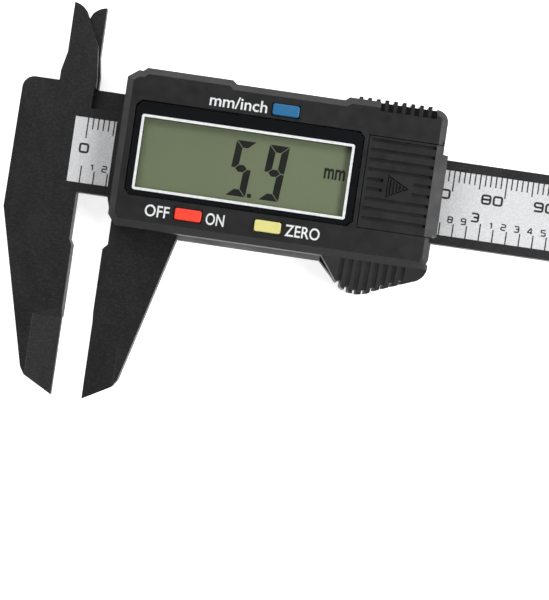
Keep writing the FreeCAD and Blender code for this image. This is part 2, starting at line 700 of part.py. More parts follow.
def key_sides(across, up, grow):
    """Sides of a key's rectangle, grown all round."""
    return (f"{across} - button_long / 2 - {grow}", f"{up} - button_wide / 2 - {grow}",
            f"{across} + button_long / 2 + {grow}", f"{up} + button_wide / 2 + {grow}")


def make_key(label, across, up):
    """Push button: cap through the case, flange under the roof and a stem to its dome."""
    body = new_body(label, moves=True)
    sides = key_sides(across, up, "0")
    sketch = new_sketch(body, "XY_Plane", "flange_front")
    rectangle(sketch, *sides)
    pad(body, sketch, "button_top - flange_front")
    corners = [(sides[0], sides[1]), (sides[2], sides[1]), (sides[2], sides[3]),
               (sides[0], sides[3])]
    dress(body, "Fillet", "button_round", spots=corners)
    dress(body, "Fillet", "button_round / 2", level="button_top")
    sketch = new_sketch(body, "XY_Plane", "flange_front - flange_thick")
    rectangle(sketch, *key_sides(across, up, "button_flange"))
    pad(body, sketch, "flange_thick")
    sketch = new_sketch(body, "XY_Plane", "stem_low")
    circle(sketch, across, up, "stem_radius")
    pad(body, sketch, "flange_front - flange_thick - stem_low")
    return body


def make_switch_domes():
    """Snap domes on the board, one under each key."""
    body = new_body("switch_domes", moves=True)
    for across, up in KEYS.values():
        sketch = new_sketch(body, "XY_Plane", "board_front")
        circle(sketch, across, up, "dome_radius")
        pad(body, sketch, "dome_rise")
    dress(body, "Chamfer", "dome_rise * 0.8", level="board_front + dome_rise")
    return body


# ---------------------------------------------------------------- fasteners and springs

def make_screws(label, start, tall, across_step=None, up_step=None, moves=True):
    """Pan-head screws, head down and shank up; start is the first one's seat."""
    body = new_body(label)
    for axis, text in zip("xyz", start):
        shift = f"opening + {text}" if moves and axis == "x" else text
        bind(body, f"Placement.Base.{axis}", shift)
    sketch = new_sketch(body, "XZ_Plane")
    outline(sketch, [
        ("0", "-screw_head_tall"),
        ("screw_head * 0.7", "-screw_head_tall"),
        ("screw_head", "-screw_head_tall * 0.4"),
        ("screw_head", "0"),
        ("screw_radius", "0"),
        ("screw_radius", f"{tall} - screw_radius"),
        ("screw_radius * 0.3", tall),
        ("0", tall),
    ])
    turn = body.newObject("PartDesign::Revolution", "Revolution")
    turn.Profile = sketch
    turn.ReferenceAxis = (sketch, ["V_Axis"])
    turn.Angle = 360
    doc.recompute()
    sketch = new_sketch(body, "XY_Plane", "-screw_head_tall")
    arm, half = "screw_head * 0.6", "slot_wide / 2"
    outline(sketch, [
        (f"-({arm})", f"-{half}"), (f"-{half}", f"-{half}"), (f"-{half}", f"-({arm})"),
        (half, f"-({arm})"), (half, f"-{half}"), (arm, f"-{half}"),
        (arm, half), (half, half), (half, arm),
        (f"-{half}", arm), (f"-{half}", half), (f"-({arm})", half),
    ])
    cross = pocket(body, sketch, "slot_deep")
    steps = [("Y_Axis", up_step), ("X_Axis", across_step)]
    steps = [(axis, step) for axis, step in steps if step]
    if steps:
        repeat = body.newObject("PartDesign::MultiTransform", "MultiTransform")
        repeat.Originals = [turn, cross]
        repeat.Transformations = [spacing(body, axis, step, 2) for axis, step in steps]
        body.Tip = repeat
        doc.recompute()
    return body


def make_gib_spring():
    """Thin leaf, bowed between the frame's pocket and the beam's upper edge."""
    body = new_body("gib_spring", moves=True)
    sketch = new_sketch(body, "XY_Plane", "frame_top - gib_tall + gib_gap")
    outer = "half_slot + gib_room"
    inner = "half_slot + gib_room - gib_thick"
    middle = "(gib_start + gib_end) / 2"
    left, right = "gib_start + gib_play", "gib_end - gib_play"
    outline(sketch, [
        (left, inner),
        (right, inner, middle, f"{inner} - gib_bow"),
        (right, outer),
        (left, outer, middle, f"{outer} - gib_bow"),
    ])
    pad(body, sketch, "gib_tall - 2 * gib_gap")
    return body


# ---------------------------------------------------------------- depth rod, strips, end stop

def make_depth_rod():
    """Steel strip that runs out of the beam's end as the jaws open."""
    body = new_body("depth_rod", moves=True)
    sketch = new_sketch(body, "XY_Plane", "rod_back")
    outline(sketch, [
        ("rod_hold - rod_tail", "-rod_width / 2"),
        ("beam_end - rod_nose * 1.5", "-rod_width / 2"),
        ("beam_end", "-rod_width / 2 + rod_nose"),
        ("beam_end", "rod_width / 2"),
        ("rod_hold - rod_tail", "rod_width / 2"),
    ])
    pad(body, sketch, "rod_thick")
    sketch = new_sketch(body, "XY_Plane", "rod_back")
    circle(sketch, "rod_hold", "0", "screw_radius + screw_gap")
    pocket(body, sketch, "rod_thick")
    return body


def make_end_stop():
    """Small plate across the beam's back that stops the slider."""
    body = plate("end_stop", ("stop_start", "-stop_half", "stop_start + stop_long", "stop_half"),
                 "beam_lift - stop_thick", "stop_thick", moves=False, corners="stop_corner")
    sketch = new_sketch(body, "XY_Plane", "beam_lift - stop_thick")
    circle(sketch, "stop_start + stop_long / 2", "-stop_screw_y", "screw_radius + head_gap / 2")
    circle(sketch, "stop_start + stop_long / 2", "stop_screw_y", "screw_radius + head_gap / 2")
    pocket(body, sketch, "stop_thick")
    return body


# ---------------------------------------------------------------- display

def make_display():
    """Window, white trim, display glass, reflector, elastomer connector and their holder."""
    window = new_body("display_window", moves=True)
    sketch = new_sketch(window, "XY_Plane", "window_floor")
    outline(sketch, window_edge("0"))
    pad(window, sketch, "window_thick")
    trim = plate("display_trim", ("trim_left", "-trim_low", "trim_right", "trim_high"),
                 "window_top", "trim_thick", corners="trim_corner")
    sketch = new_sketch(trim, "XY_Plane", "window_top")
    rectangle(sketch, "trim_left + trim_width", "-trim_low + trim_width",
              "trim_right - trim_width", "trim_high - trim_width")
    pocket(trim, sketch, "trim_thick")
    front = ("glass_left", "glass_low", "glass_right", "glass_high")
    back = ("glass_left", "glass_low", "glass_right", "glass_step")
    plate("lcd_front_glass", front, "glass_front - glass_thick", "glass_thick")
    plate("lcd_rear_glass", back, "glass_back", "glass_thick")
    plate("lcd_reflector", back, "glass_back - reflector_thick", "reflector_thick")
    plate("zebra_connector",
          ("trim_left + zebra_inset", "glass_step + zebra_gap",
           "trim_right - zebra_inset", "glass_step + zebra_gap + zebra_width"),
          "board_front", "glass_front - glass_thick - board_front")
    room = "(holder_gap + holder_wall)"
    holder = plate("lcd_holder", (f"glass_left - {room}", f"glass_low - {room}",
                                  f"glass_right + {room}", f"glass_high + {room}"),
                   "board_front", "glass_front - holder_drop - board_front")
    sketch = new_sketch(holder, "XY_Plane", "board_front")
    rectangle(sketch, "glass_left - holder_gap", "glass_low - holder_gap",
              "glass_right + holder_gap", "glass_high + holder_gap")
    pocket(holder, sketch, "glass_front - board_front")


# ---------------------------------------------------------------- electronics

def make_board():
    """Circuit board over the beam, pierced by the case's screw bosses."""
    body = plate("circuit_board",
                 ("case_left + case_wall + board_margin", "-case_low + case_wall + board_margin",
                  "case_right - case_wall - board_margin", "case_high - case_wall - board_nip"),
                 "board_low", "board_thick")
    room = "screw_radius + boss_wall + board_margin / 2"
    left, right = f"screw_left + {room}", f"screw_right - ({room})"
    low, high = f"screw_low + {room}", f"screw_high - ({room})"
    for sides in (("case_left", "-case_low", left, low), (right, "-case_low", "case_right", low),
                  ("case_left", high, left, "case_high"), (right, high, "case_right", "case_high")):
        sketch = new_sketch(body, "XY_Plane", "board_low")
        rectangle(sketch, *sides)
        pocket(body, sketch, "board_thick")
    return body


def make_components():
    """Sealed controller, watch crystal and chip capacitors on the board's front."""
    chip = new_body("controller_chip", moves=True)
    sketch = new_sketch(chip, "XY_Plane", "board_front")
    circle(sketch, "chip_x", "chip_y", "chip_radius")
    pad(chip, sketch, "chip_tall")
    dress(chip, "Fillet", "chip_round", level="board_front + chip_tall")
    crystal = new_body("crystal", moves=True)
    sketch = new_sketch(crystal, "YZ_Plane", "crystal_x")
    circle(sketch, "-crystal_y", "board_front + crystal_radius", "crystal_radius")
    pad(crystal, sketch, "crystal_long")
    doc.recompute()
    capacitors = new_body("capacitors", moves=True)
    sketch = new_sketch(capacitors, "XY_Plane", "board_front")
    rectangle(sketch, "capacitor_x", "capacitor_y", "capacitor_x + capacitor_long",
              "capacitor_y + capacitor_wide")
    first = pad(capacitors, sketch, "capacitor_wide")
    pattern(capacitors, first, "X_Axis", "capacitor_pitch", CAPACITORS)


def make_battery():
    """Button cell with its rim, and the two spring contacts that hold it."""
    cell = new_body("battery", moves=True)
    bind(cell, "Placement.Base.x", "opening + cell_x")
    bind(cell, "Placement.Base.y", "cell_y")
    bind(cell, "Placement.Base.z", "cell_low")
    sketch = new_sketch(cell, "XZ_Plane")
    outline(sketch, [
        ("0", "0"), ("cell_radius - cell_step - cell_rim", "0"),
        ("cell_radius - cell_step", "cell_step_tall"),
        ("cell_radius - cell_rim", "cell_step_tall"),
        ("cell_radius", "cell_step_tall + cell_rim"), ("cell_radius", "cell_thick - cell_rim"),
        ("cell_radius - cell_rim", "cell_thick"), ("0", "cell_thick"),
    ])
    turn = cell.newObject("PartDesign::Revolution", "Revolution")
    turn.Profile = sketch
    turn.ReferenceAxis = (sketch, ["V_Axis"])
    turn.Angle = 360
    low = new_body("negative_contact", moves=True)
    sketch = new_sketch(low, "XZ_Plane", "-cell_y - contact_wide / 2")
    outline(sketch, [
        ("cell_x - contact_foot", "board_front"), ("cell_x + contact_heel", "board_front"),
        ("cell_x + contact_tip", "cell_low - contact_thick"),
        ("cell_x + contact_tip", "cell_low"),
        ("cell_x - contact_heel / 2", "cell_low"),
        ("cell_x - contact_heel", "board_front + contact_thick"),
        ("cell_x - contact_foot", "board_front + contact_thick"),
    ])
    pad(low, sketch, "contact_wide")
    side = "cell_x - cell_radius - contact_thick"
    high = new_body("positive_contact", moves=True)
    sketch = new_sketch(high, "XZ_Plane", "-cell_y - clip_wide / 2")
    outline(sketch, [
        (f"{side} - clip_foot", "board_front"), (f"{side} + contact_thick", "board_front"),
        (f"{side} + contact_thick", "cell_top - clip_drop"),
        (side, "cell_top - clip_drop"), (side, "board_front + contact_thick"),
        (f"{side} - clip_foot", "board_front + contact_thick"),
    ])
    pad(high, sketch, "clip_wide")


def make_battery_door():
    """Sliding door: grooved plate with side tongues, sloping down to a lip at the open end."""
    body = new_body("battery_door", moves=True)
    sketch = new_sketch(body, "XZ_Plane", "-door_high")
    outline(sketch, [
        ("door_left", "door_back"),
        ("case_right + door_gap", "door_back"),
        ("case_right + door_gap", "door_back - door_slope_drop"),
        ("lip_right", "door_back - door_slope_drop"),
        ("lip_right", "case_front - door_slope_drop"),
        ("door_slope_start", "case_front"),
        ("door_left", "case_front"),
    ])
    pad(body, sketch, "door_high + door_low")
    # the part beyond the case's end is narrower than the plate
    for low, high in (("-door_low - overrun", "-door_lip_low"),
                      ("door_lip_high", "door_high + overrun")):
        sketch = new_sketch(body, "XY_Plane", "frame_top")
        rectangle(sketch, "case_right - door_neck", low, "lip_right + overrun", high)
        pocket(body, sketch, "case_front")
    sketch = new_sketch(body, "XY_Plane", "frame_top + door_skirt")
    rectangle(sketch, "case_right + door_gap", "-door_lip_low", "lip_right", "door_lip_high")
    pad(body, sketch, "door_back - door_slope_drop - frame_top")
    sketch = new_sketch(body, "XY_Plane", "door_back")
    rectangle(sketch, "door_left", "-door_low - tongue_reach", "door_slope_start - tongue_back",
              "door_high + tongue_reach")
    pad(body, sketch, "tongue_thick")
    # finger grooves; the two that meet the arrow are shorter
    start, end = "door_left + groove_inset", "door_slope_start - groove_tail"
    for number in range(DOOR_GROOVES):
        up = f"groove_first - groove_pitch * {number}"
        spans = [(start, end)]
        if number in ARROW_GROOVES:
            spans = [(start, "arrow_x - arrow_left"),
                     ("arrow_x + arrow_long + arrow_right", end)]
        for left, right in spans:
            sketch = new_sketch(body, "XY_Plane", "case_front - groove_depth")
            rectangle(sketch, left, f"{up} - groove_width / 2", right, f"{up} + groove_width / 2")
            pocket(body, sketch, "groove_depth + overrun")
    sketch = new_sketch(body, "XY_Plane", "case_front - arrow_sink")
    outline(sketch, [("arrow_x", "arrow_y - arrow_half"), ("arrow_x + arrow_long", "arrow_y"),
                     ("arrow_x", "arrow_y + arrow_half")])
    pocket(body, sketch, "arrow_sink + overrun")
    return body


# ---------------------------------------------------------------- build

make_beam()
plate("scale_circuit_strip", ("-label_lead", "-label_width / 2", "label_end", "label_width / 2"),
      "recess_floor", "strip_thick", moves=False)
plate("scale_label", ("-label_lead", "-label_width / 2", "label_end", "label_width / 2"),
      "recess_floor + strip_thick", "label_thick", moves=False)
make_end_stop()
make_screws("end_stop_screws", ("stop_start + stop_long / 2", "-stop_screw_y",
                                "beam_lift - stop_thick"),
            "stop_screw_long", up_step="2 * stop_screw_y", moves=False)
make_slider_frame()
make_gib_spring()
make_depth_rod()
make_screws("depth_rod_screw", ("rod_hold", "0", "screw_seat"),
            "rod_back + rod_thick - screw_seat")
make_board()
make_components()
make_switch_domes()
make_battery()
make_display()
make_front_case()
make_screws("case_screws", ("screw_left", "screw_low", "screw_seat"),
            "screw_long", across_step="screw_right - screw_left",
            up_step="screw_high - screw_low")
for key, (key_x, key_y) in KEYS.items():
    make_key(key, key_x, key_y)
make_battery_door()

doc.recompute()
for item in doc.Objects:
    if "Invalid" in item.State or "Error" in item.State:
        raise RuntimeError(f"{item.Label} ({item.Name}) failed: {item.State}")
    if item.TypeId == "PartDesign::Pocket":
        if item.Shape.Volume > item.BaseFeature.Shape.Volume - 1e-4:
            raise RuntimeError(f"{item.getParentGroup().Label}: {item.Name} cuts nothing")
bodies = [item for item in doc.Objects if item.TypeId == "PartDesign::Body"]
for item in bodies:
    if item.Shape.isNull() or not item.Shape.isValid() or item.Shape.Volume <= 0:
        raise RuntimeError(f"{item.Label} has no sound shape")
os.makedirs("parts", exist_ok=True)
for item in bodies:
    item.Shape.exportStep(f"parts/{item.Label}.step")
    print(f"{item.Label}: {len(item.Shape.Solids)} solid(s), {item.Shape.Volume:.1f} mm3")
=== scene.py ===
"""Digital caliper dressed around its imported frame.

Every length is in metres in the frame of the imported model: X runs along the beam, Y across it
towards the inside jaws and Z out of the display. Moulded pieces take their shape from the frame
and get softened edges; print, display segments and hatching are new surfaces worked out on arrays.
"""
from __future__ import annotations

import logging
import math
from dataclasses import dataclass, field
from enum import Enum

import bmesh
import bpy
import numpy as np
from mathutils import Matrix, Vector


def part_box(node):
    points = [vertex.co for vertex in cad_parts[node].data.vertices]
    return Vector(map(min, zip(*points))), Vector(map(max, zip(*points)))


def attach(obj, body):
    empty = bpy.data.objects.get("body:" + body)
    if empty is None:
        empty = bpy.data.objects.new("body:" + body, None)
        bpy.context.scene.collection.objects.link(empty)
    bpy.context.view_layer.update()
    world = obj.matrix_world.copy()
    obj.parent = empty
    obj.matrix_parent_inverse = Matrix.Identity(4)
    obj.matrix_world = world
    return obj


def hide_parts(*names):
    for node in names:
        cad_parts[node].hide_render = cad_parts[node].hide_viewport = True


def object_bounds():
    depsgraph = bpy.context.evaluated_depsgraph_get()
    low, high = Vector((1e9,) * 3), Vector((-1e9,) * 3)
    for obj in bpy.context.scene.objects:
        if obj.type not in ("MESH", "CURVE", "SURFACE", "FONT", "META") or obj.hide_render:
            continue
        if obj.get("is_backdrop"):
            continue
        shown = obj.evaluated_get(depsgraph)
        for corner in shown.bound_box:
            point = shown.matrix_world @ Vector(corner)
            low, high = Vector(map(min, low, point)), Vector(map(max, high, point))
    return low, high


LOG = logging.getLogger("caliper")
MM = 0.001
LEAST_SPREAD = 0.4  # limits how far a stroke's outer corner may run out
SAME_POINT = 1e-7  # metres; points nearer than this are one
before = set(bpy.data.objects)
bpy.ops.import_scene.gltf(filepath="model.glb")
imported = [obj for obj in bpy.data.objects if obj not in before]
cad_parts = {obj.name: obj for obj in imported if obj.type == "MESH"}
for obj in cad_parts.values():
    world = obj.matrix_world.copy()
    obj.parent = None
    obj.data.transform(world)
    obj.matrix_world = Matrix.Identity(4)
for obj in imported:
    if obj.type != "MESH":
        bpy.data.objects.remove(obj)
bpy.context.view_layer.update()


# --------------------------------------------------------------------------- meshes

def new_piece(name: str, points: np.ndarray, faces: list) -> bpy.types.Object:
    """Make a flat-shaded object at the origin from an array of points and a list of faces.

    Args:
        name: name of the piece.
        points: corner positions, one row each, in metres.
        faces: index lists, anticlockwise seen from outside.

    Returns:
        The linked object.
    """
    mesh = bpy.data.meshes.new(name)
    mesh.from_pydata(points.tolist(), [], faces)
    mesh.update()
    piece = bpy.data.objects.new(name, mesh)
    bpy.context.scene.collection.objects.link(piece)
    return piece


def boxes(lows: np.ndarray, highs: np.ndarray) -> tuple[np.ndarray, list]:
    """Closed boxes, all at once.

    Each corner is low + bit * (high - low), where the three bits of the corner's number choose
    the low or the high side along X, Y and Z.

    Args:
        lows: lowest corners, one row per box.
        highs: highest corners, one row per box.

    Returns:
        The points and the faces.
    """
    bits = np.array([[corner & 1, corner >> 1 & 1, corner >> 2 & 1] for corner in range(8)])
    points = lows[:, None, :] + bits[None] * (highs - lows)[:, None, :]
    sides = np.array([[0, 2, 3, 1], [4, 5, 7, 6], [0, 1, 5, 4],
                      [2, 6, 7, 3], [0, 4, 6, 2], [1, 3, 7, 5]])
    faces = sides[None] + 8 * np.arange(len(lows))[:, None, None]
    return points.reshape(-1, 3), faces.reshape(-1, 4).tolist()


def prism(outline: np.ndarray, low: float, high: float) -> tuple[np.ndarray, list]:
    """Closed upright prism over a flat outline.

    Args:
        outline: corners in X and Y, anticlockwise, in metres.
        low: height of the bottom.
        high: height of the top.

    Returns:
        The points and the faces: two caps and one quad for each side.
    """
    count = len(outline)
    bottom = np.column_stack([outline, np.full(count, low)])
    top = np.column_stack([outline, np.full(count, high)])
    here = np.arange(count)
    there = (here + 1) % count
    sides = np.column_stack([here, there, there + count, here + count]).tolist()
    return np.vstack([bottom, top]), [here[::-1].tolist(), (here + count).tolist()] + sides


def ribbon(path: np.ndarray, width: float, low: float, high: float) -> tuple[np.ndarray, list]:
    """Flat strip of even width along a path, as a pen stroke with thickness.

    The strip's edges lie at path plus and minus half the width times the normal; at a corner the
    normal is the mean of its two runs' normals, made longer so that the runs keep their width.

    Args:
        path: points in X and Y, in metres.
        width: width of the strip.
        low: height of the underside.
        high: height of the top.

    Returns:
        The points and the faces of the closed strip.
    """
    runs = np.diff(path, axis=0)
    runs /= np.linalg.norm(runs, axis=1)[:, None]
    before = np.vstack([runs[:1], runs])
    after = np.vstack([runs, runs[-1:]])
    normal = np.column_stack([-(before + after)[:, 1], (before + after)[:, 0]])
    normal /= np.linalg.norm(normal, axis=1)[:, None]
    spread = np.abs(normal[:, 0] * -before[:, 1] + normal[:, 1] * before[:, 0])
    spread = np.maximum(spread, LEAST_SPREAD)
    shift = normal * (width / 2 / spread)[:, None]
    left, right = path + shift, path - shift
    count = len(path)
    rings = [(right, low), (left, low), (left, high), (right, high)]
    points = np.vstack([np.column_stack([edge, np.full(count, level)]) for edge, level in rings])
    index = np.arange(4)[:, None] * count + np.arange(count)[None]
    faces = []
    for side in range(4):
        first, second = index[side], index[(side + 1) % 4]
        faces += np.column_stack([first[:-1], second[:-1], second[1:], first[1:]]).tolist()
    return points, faces + [index[::-1, 0].tolist(), index[:, -1].tolist()]


def join(parts: list[tuple[np.ndarray, list]]) -> tuple[np.ndarray, list]:
    """Put several point and face sets into one."""
    points, faces, start = [], [], 0
    for some, their in parts:
        points.append(some)
        faces += [[number + start for number in face] for face in their]
        start += len(some)
    return np.vstack(points), faces


def rounded(corners: np.ndarray, radius: float, closed: bool, steps: int = 5) -> np.ndarray:
    """Path whose corners are replaced by arcs.

    Between the two points that lie radius away from the corner on its runs, the path follows the
    quadratic curve a(1-u)^2 + 2cu(1-u) + bu^2 with the corner c as its middle control point.

    Args:
        corners: points in X and Y.
        radius: distance from the corner at which its arc begins.
        closed: whether the last point joins the first.
        steps: points along each arc.

    Returns:
        The path's points.
    """
    count = len(corners)
    middle = np.arange(count) if closed else np.arange(1, count - 1)
    here, back, ahead = corners[middle], corners[middle - 1], corners[(middle + 1) % count]
    to_back, to_ahead = back - here, ahead - here
    back_long = np.linalg.norm(to_back, axis=1)[:, None]
    ahead_long = np.linalg.norm(to_ahead, axis=1)[:, None]
    start = here + to_back / back_long * np.minimum(radius, back_long / 2)
    finish = here + to_ahead / ahead_long * np.minimum(radius, ahead_long / 2)
    along = np.linspace(0, 1, steps)[None, :, None]
    arcs = (start[:, None] * (1 - along) ** 2 + 2 * here[:, None] * along * (1 - along)
            + finish[:, None] * along ** 2).reshape(-1, 2)
    path = np.vstack([arcs, arcs[:1]]) if closed else np.vstack([corners[:1], arcs, corners[-1:]])
    moved = np.linalg.norm(np.diff(path, axis=0), axis=1) > SAME_POINT
    return path[np.concatenate([[True], moved])]


# --------------------------------------------------------------------------- finishes

class Tree:
    """A material's node tree with short ways to add and join nodes."""

    def __init__(self, name: str) -> None:
        """Start an empty material of the given name."""
        self.material = bpy.data.materials.new(name)
        self.material.use_nodes = True
        self.nodes = self.material.node_tree.nodes
        self.links = self.material.node_tree.links
        self.nodes.clear()
        self.output = self.nodes.new("ShaderNodeOutputMaterial")
        self.place = self.nodes.new("ShaderNodeTexCoord").outputs["Object"]

    def add(self, kind: str, **values: object) -> bpy.types.Node:
        """Add a node.

        Args:
            kind: node type without its ShaderNode prefix.
            values: input values by name, with _ for a space, or node properties.

        Returns:
            The node.
        """
        node = self.nodes.new("ShaderNode" + kind)
        for key, value in values.items():
            socket = key.replace("_", " ")
            if socket in node.inputs:
                node.inputs[socket].default_value = value
            else:
                setattr(node, key, value)
        return node

    def noise(self, scale: float, detail: float = 3.0, stretch: tuple = (1, 1, 1)) -> bpy.types.NodeSocket:
        """Noise on object coordinates.

        Args:
            scale: cells per metre.
            detail: octaves.
            stretch: factors on the coordinates.

        Returns:
            The noise's value, about 0.5 on average.
        """
        mapping = self.add("Mapping")
        mapping.inputs["Scale"].default_value = stretch
        self.links.new(self.place, mapping.inputs["Vector"])
        noise = self.add("TexNoise", Scale=scale, Detail=detail)
        self.links.new(mapping.outputs["Vector"], noise.inputs["Vector"])
        return noise.outputs["Fac"]

    def spread(self, value: bpy.types.NodeSocket, low: float, high: float, start: float = 0.3,
               end: float = 0.7) -> bpy.types.NodeSocket:
        """Map a noise value from its usual span to a range, without leaving the range.

        Args:
            value: socket to map.
            low: result at start.
            high: result at end.
            start: lowest value mapped.
            end: highest value mapped.

        Returns:
            The mapped value.
        """
        node = self.add("MapRange")
        for key, number in (("From Min", start), ("From Max", end), ("To Min", low), ("To Max", high)):
            node.inputs[key].default_value = number
        self.links.new(value, node.inputs["Value"])
        return node.outputs["Result"]

    def blend(self, factor: bpy.types.NodeSocket, dark: tuple, light: tuple) -> bpy.types.NodeSocket:
        """Colour between two colours by a factor from 0 to 1."""
        node = self.nodes.new("ShaderNodeMix")
        node.data_type = "RGBA"
        node.inputs[6].default_value = (*dark, 1)
        node.inputs[7].default_value = (*light, 1)
        self.links.new(factor, node.inputs[0])
        return node.outputs[2]

    def bump(self, height: bpy.types.NodeSocket, distance: float, strength: float) -> bpy.types.NodeSocket:
        """Normal raised by a height value.

        Args:
            height: value from 0 to 1.
            distance: height in metres that the value 1 stands for.
            strength: share of the effect.

        Returns:
            The bumped normal.
        """
        node = self.add("Bump", Strength=strength, Distance=distance)
        self.links.new(height, node.inputs["Height"])
        return node.outputs["Normal"]

    def surface(self, **values: object) -> bpy.types.Node:
        """Principled shader on the output, with its sockets set."""
        node = self.add("BsdfPrincipled", **values)
        self.links.new(node.outputs[0], self.output.inputs["Surface"])
        return node

    def drive(self, node: bpy.types.Node, socket: str, source: bpy.types.NodeSocket) -> None:
        """Join a source to a named input of a node."""
        self.links.new(source, node.inputs[socket])


def shade(colour: tuple, factor: float) -> tuple:
    """Colour multiplied by a factor."""
    return tuple(min(channel * factor, 1.0) for channel in colour)


@dataclass(frozen=True)
class Moulding:
    """Moulded plastic: cloudy colour, fine spark-eroded grain and uneven gloss."""

    name: str
    colour: tuple
    roughness: float = 0.5
    cloud: float = 0.25
    grain_scale: float = 5200.0
    grain_height: float = 0.00003
    grain_strength: float = 0.25
    mirror: float = 0.4

    def build(self) -> bpy.types.Material:
        """Make the material."""
        tree = Tree(self.name)
        shader = tree.surface(Roughness=self.roughness, Specular_IOR_Level=self.mirror)
        cloud = tree.spread(tree.noise(140.0, 4.0), 0.0, 1.0)
        tint = tree.blend(cloud, shade(self.colour, 1 - self.cloud), shade(self.colour, 1 + self.cloud))
        tree.drive(shader, "Base Color", tint)
        gloss = tree.spread(tree.noise(420.0, 5.0), self.roughness - 0.07, self.roughness + 0.07)
        tree.drive(shader, "Roughness", gloss)
        grain = tree.noise(self.grain_scale, 2.0)
        tree.drive(shader, "Normal", tree.bump(grain, self.grain_height, self.grain_strength))
        return tree.material


@dataclass(frozen=True)
class Composite:
    """Carbon-filled moulding: fine pale flecks in a dark body with a flowing surface."""

    name: str
    colour: tuple
    fleck: tuple
    roughness: float = 0.45
    mirror: float = 0.35

    def build(self) -> bpy.types.Material:
        """Make the material."""
        tree = Tree(self.name)
        shader = tree.surface(Roughness=self.roughness, Specular_IOR_Level=self.mirror)
        flecks = tree.spread(tree.noise(3000.0, 3.0, (0.6, 1.0, 1.0)), 0.0, 1.0, 0.42, 0.72)
        tree.drive(shader, "Base Color", tree.blend(flecks, self.colour, self.fleck))
        flow = tree.spread(tree.noise(260.0, 5.0, (1.0, 0.45, 1.0)), self.roughness - 0.08,
                           self.roughness + 0.1)
        tree.drive(shader, "Roughness", flow)
        tree.drive(shader, "Normal", tree.bump(tree.noise(2600.0, 4.0), 0.00003, 0.35))
        return tree.material


@dataclass(frozen=True)
class Film:
    """Silver label film: speckled metallic lacquer over a white base."""

    name: str
    colour: tuple
    roughness: float = 0.38

    def build(self) -> bpy.types.Material:
        """Make the material."""
        tree = Tree(self.name)
        shader = tree.surface(Metallic=0.1, Roughness=self.roughness)
        speck = tree.spread(tree.noise(6500.0, 2.0), 0.0, 1.0, 0.35, 0.65)
        tree.drive(shader, "Base Color", tree.blend(speck, shade(self.colour, 0.8), shade(self.colour, 1.1)))
        tree.drive(shader, "Roughness", tree.spread(tree.noise(900.0, 3.0), 0.3, 0.46))
        tree.drive(shader, "Normal", tree.bump(tree.noise(7000.0, 2.0), 0.00002, 0.2))
        return tree.material


@dataclass(frozen=True)
class Metal:
    """Rolled or plated metal with fine lines along one direction."""

    name: str
    colour: tuple
    roughness: float = 0.3
    stretch: tuple = (0.05, 1.0, 1.0)

    def build(self) -> bpy.types.Material:
        """Make the material."""
        tree = Tree(self.name)
        shader = tree.surface(Metallic=1.0, Roughness=self.roughness)
        lines = tree.noise(9000.0, 3.0, self.stretch)
        tint = tree.spread(lines, 0.0, 1.0)
        tree.drive(shader, "Base Color", tree.blend(tint, shade(self.colour, 0.75),
                                                    shade(self.colour, 1.1)))
        tree.drive(shader, "Roughness", tree.spread(lines, self.roughness - 0.08,
                                                    self.roughness + 0.12))
        tree.drive(shader, "Normal", tree.bump(lines, 0.00001, 0.15))
        return tree.material


@dataclass(frozen=True)
class Ink:
    """Printed or pigmented layer: flat colour, faintly uneven in cover."""

    name: str
    colour: tuple
    roughness: float = 0.5

    def build(self) -> bpy.types.Material:
        """Make the material."""
        tree = Tree(self.name)
        shader = tree.surface(Roughness=self.roughness)
        cover = tree.spread(tree.noise(1800.0, 3.0), 0.0, 1.0)
        tree.drive(shader, "Base Color", tree.blend(cover, shade(self.colour, 0.88),
                                                    shade(self.colour, 1.08)))
        tree.drive(shader, "Roughness", tree.spread(tree.noise(700.0), self.roughness - 0.05,
                                                     self.roughness + 0.08))
        return tree.material


@dataclass(frozen=True)
class Pane:
    """Clear window: lets the display show and mirrors by its angle."""

    name: str
    tint: tuple
    index: float = 1.2

    def build(self) -> bpy.types.Material:
        """Make the material."""
        tree = Tree(self.name)
        clear = tree.add("BsdfTransparent", Color=(*self.tint, 1))
        mirror = tree.add("BsdfGlossy", Roughness=0.04, Color=(1, 1, 1, 1))
        share = tree.add("Fresnel", IOR=self.index)
        mix = tree.add("MixShader")
        tree.links.new(share.outputs[0], mix.inputs[0])
        tree.links.new(clear.outputs[0], mix.inputs[1])
        tree.links.new(mirror.outputs[0], mix.inputs[2])
        tree.links.new(mix.outputs[0], tree.output.inputs["Surface"])
        return tree.material


@dataclass(frozen=True)
class Polariser:
    """Grey-green display film: slow drift of tone and a faint mottling."""

    name: str
    colour: tuple

    def build(self) -> bpy.types.Material:
        """Make the material."""
        tree = Tree(self.name)
        shader = tree.surface(Roughness=0.42)
        drift = tree.spread(tree.noise(28.0, 2.0), 0.0, 1.0)
        tree.drive(shader, "Base Color", tree.blend(drift, shade(self.colour, 0.93),
                                                    shade(self.colour, 1.07)))
        tree.drive(shader, "Normal", tree.bump(tree.noise(5200.0, 2.0), 0.00001, 0.1))
        return tree.material


@dataclass(frozen=True)
class Ground:
    """Plain pale floor."""

    name: str = "pale_floor"
    colour: tuple = (0.93, 0.93, 0.93)
    glow: float = 0.75

    def build(self) -> bpy.types.Material:
        """Make the material."""
        tree = Tree(self.name)
        shader = tree.surface(Roughness=0.8, Emission_Color=(1, 1, 1, 1), Emission_Strength=self.glow)
        tone = tree.spread(tree.noise(18.0), 0.0, 1.0)
        tree.drive(shader, "Base Color", tree.blend(tone, shade(self.colour, 0.99), self.colour))
        return tree.material


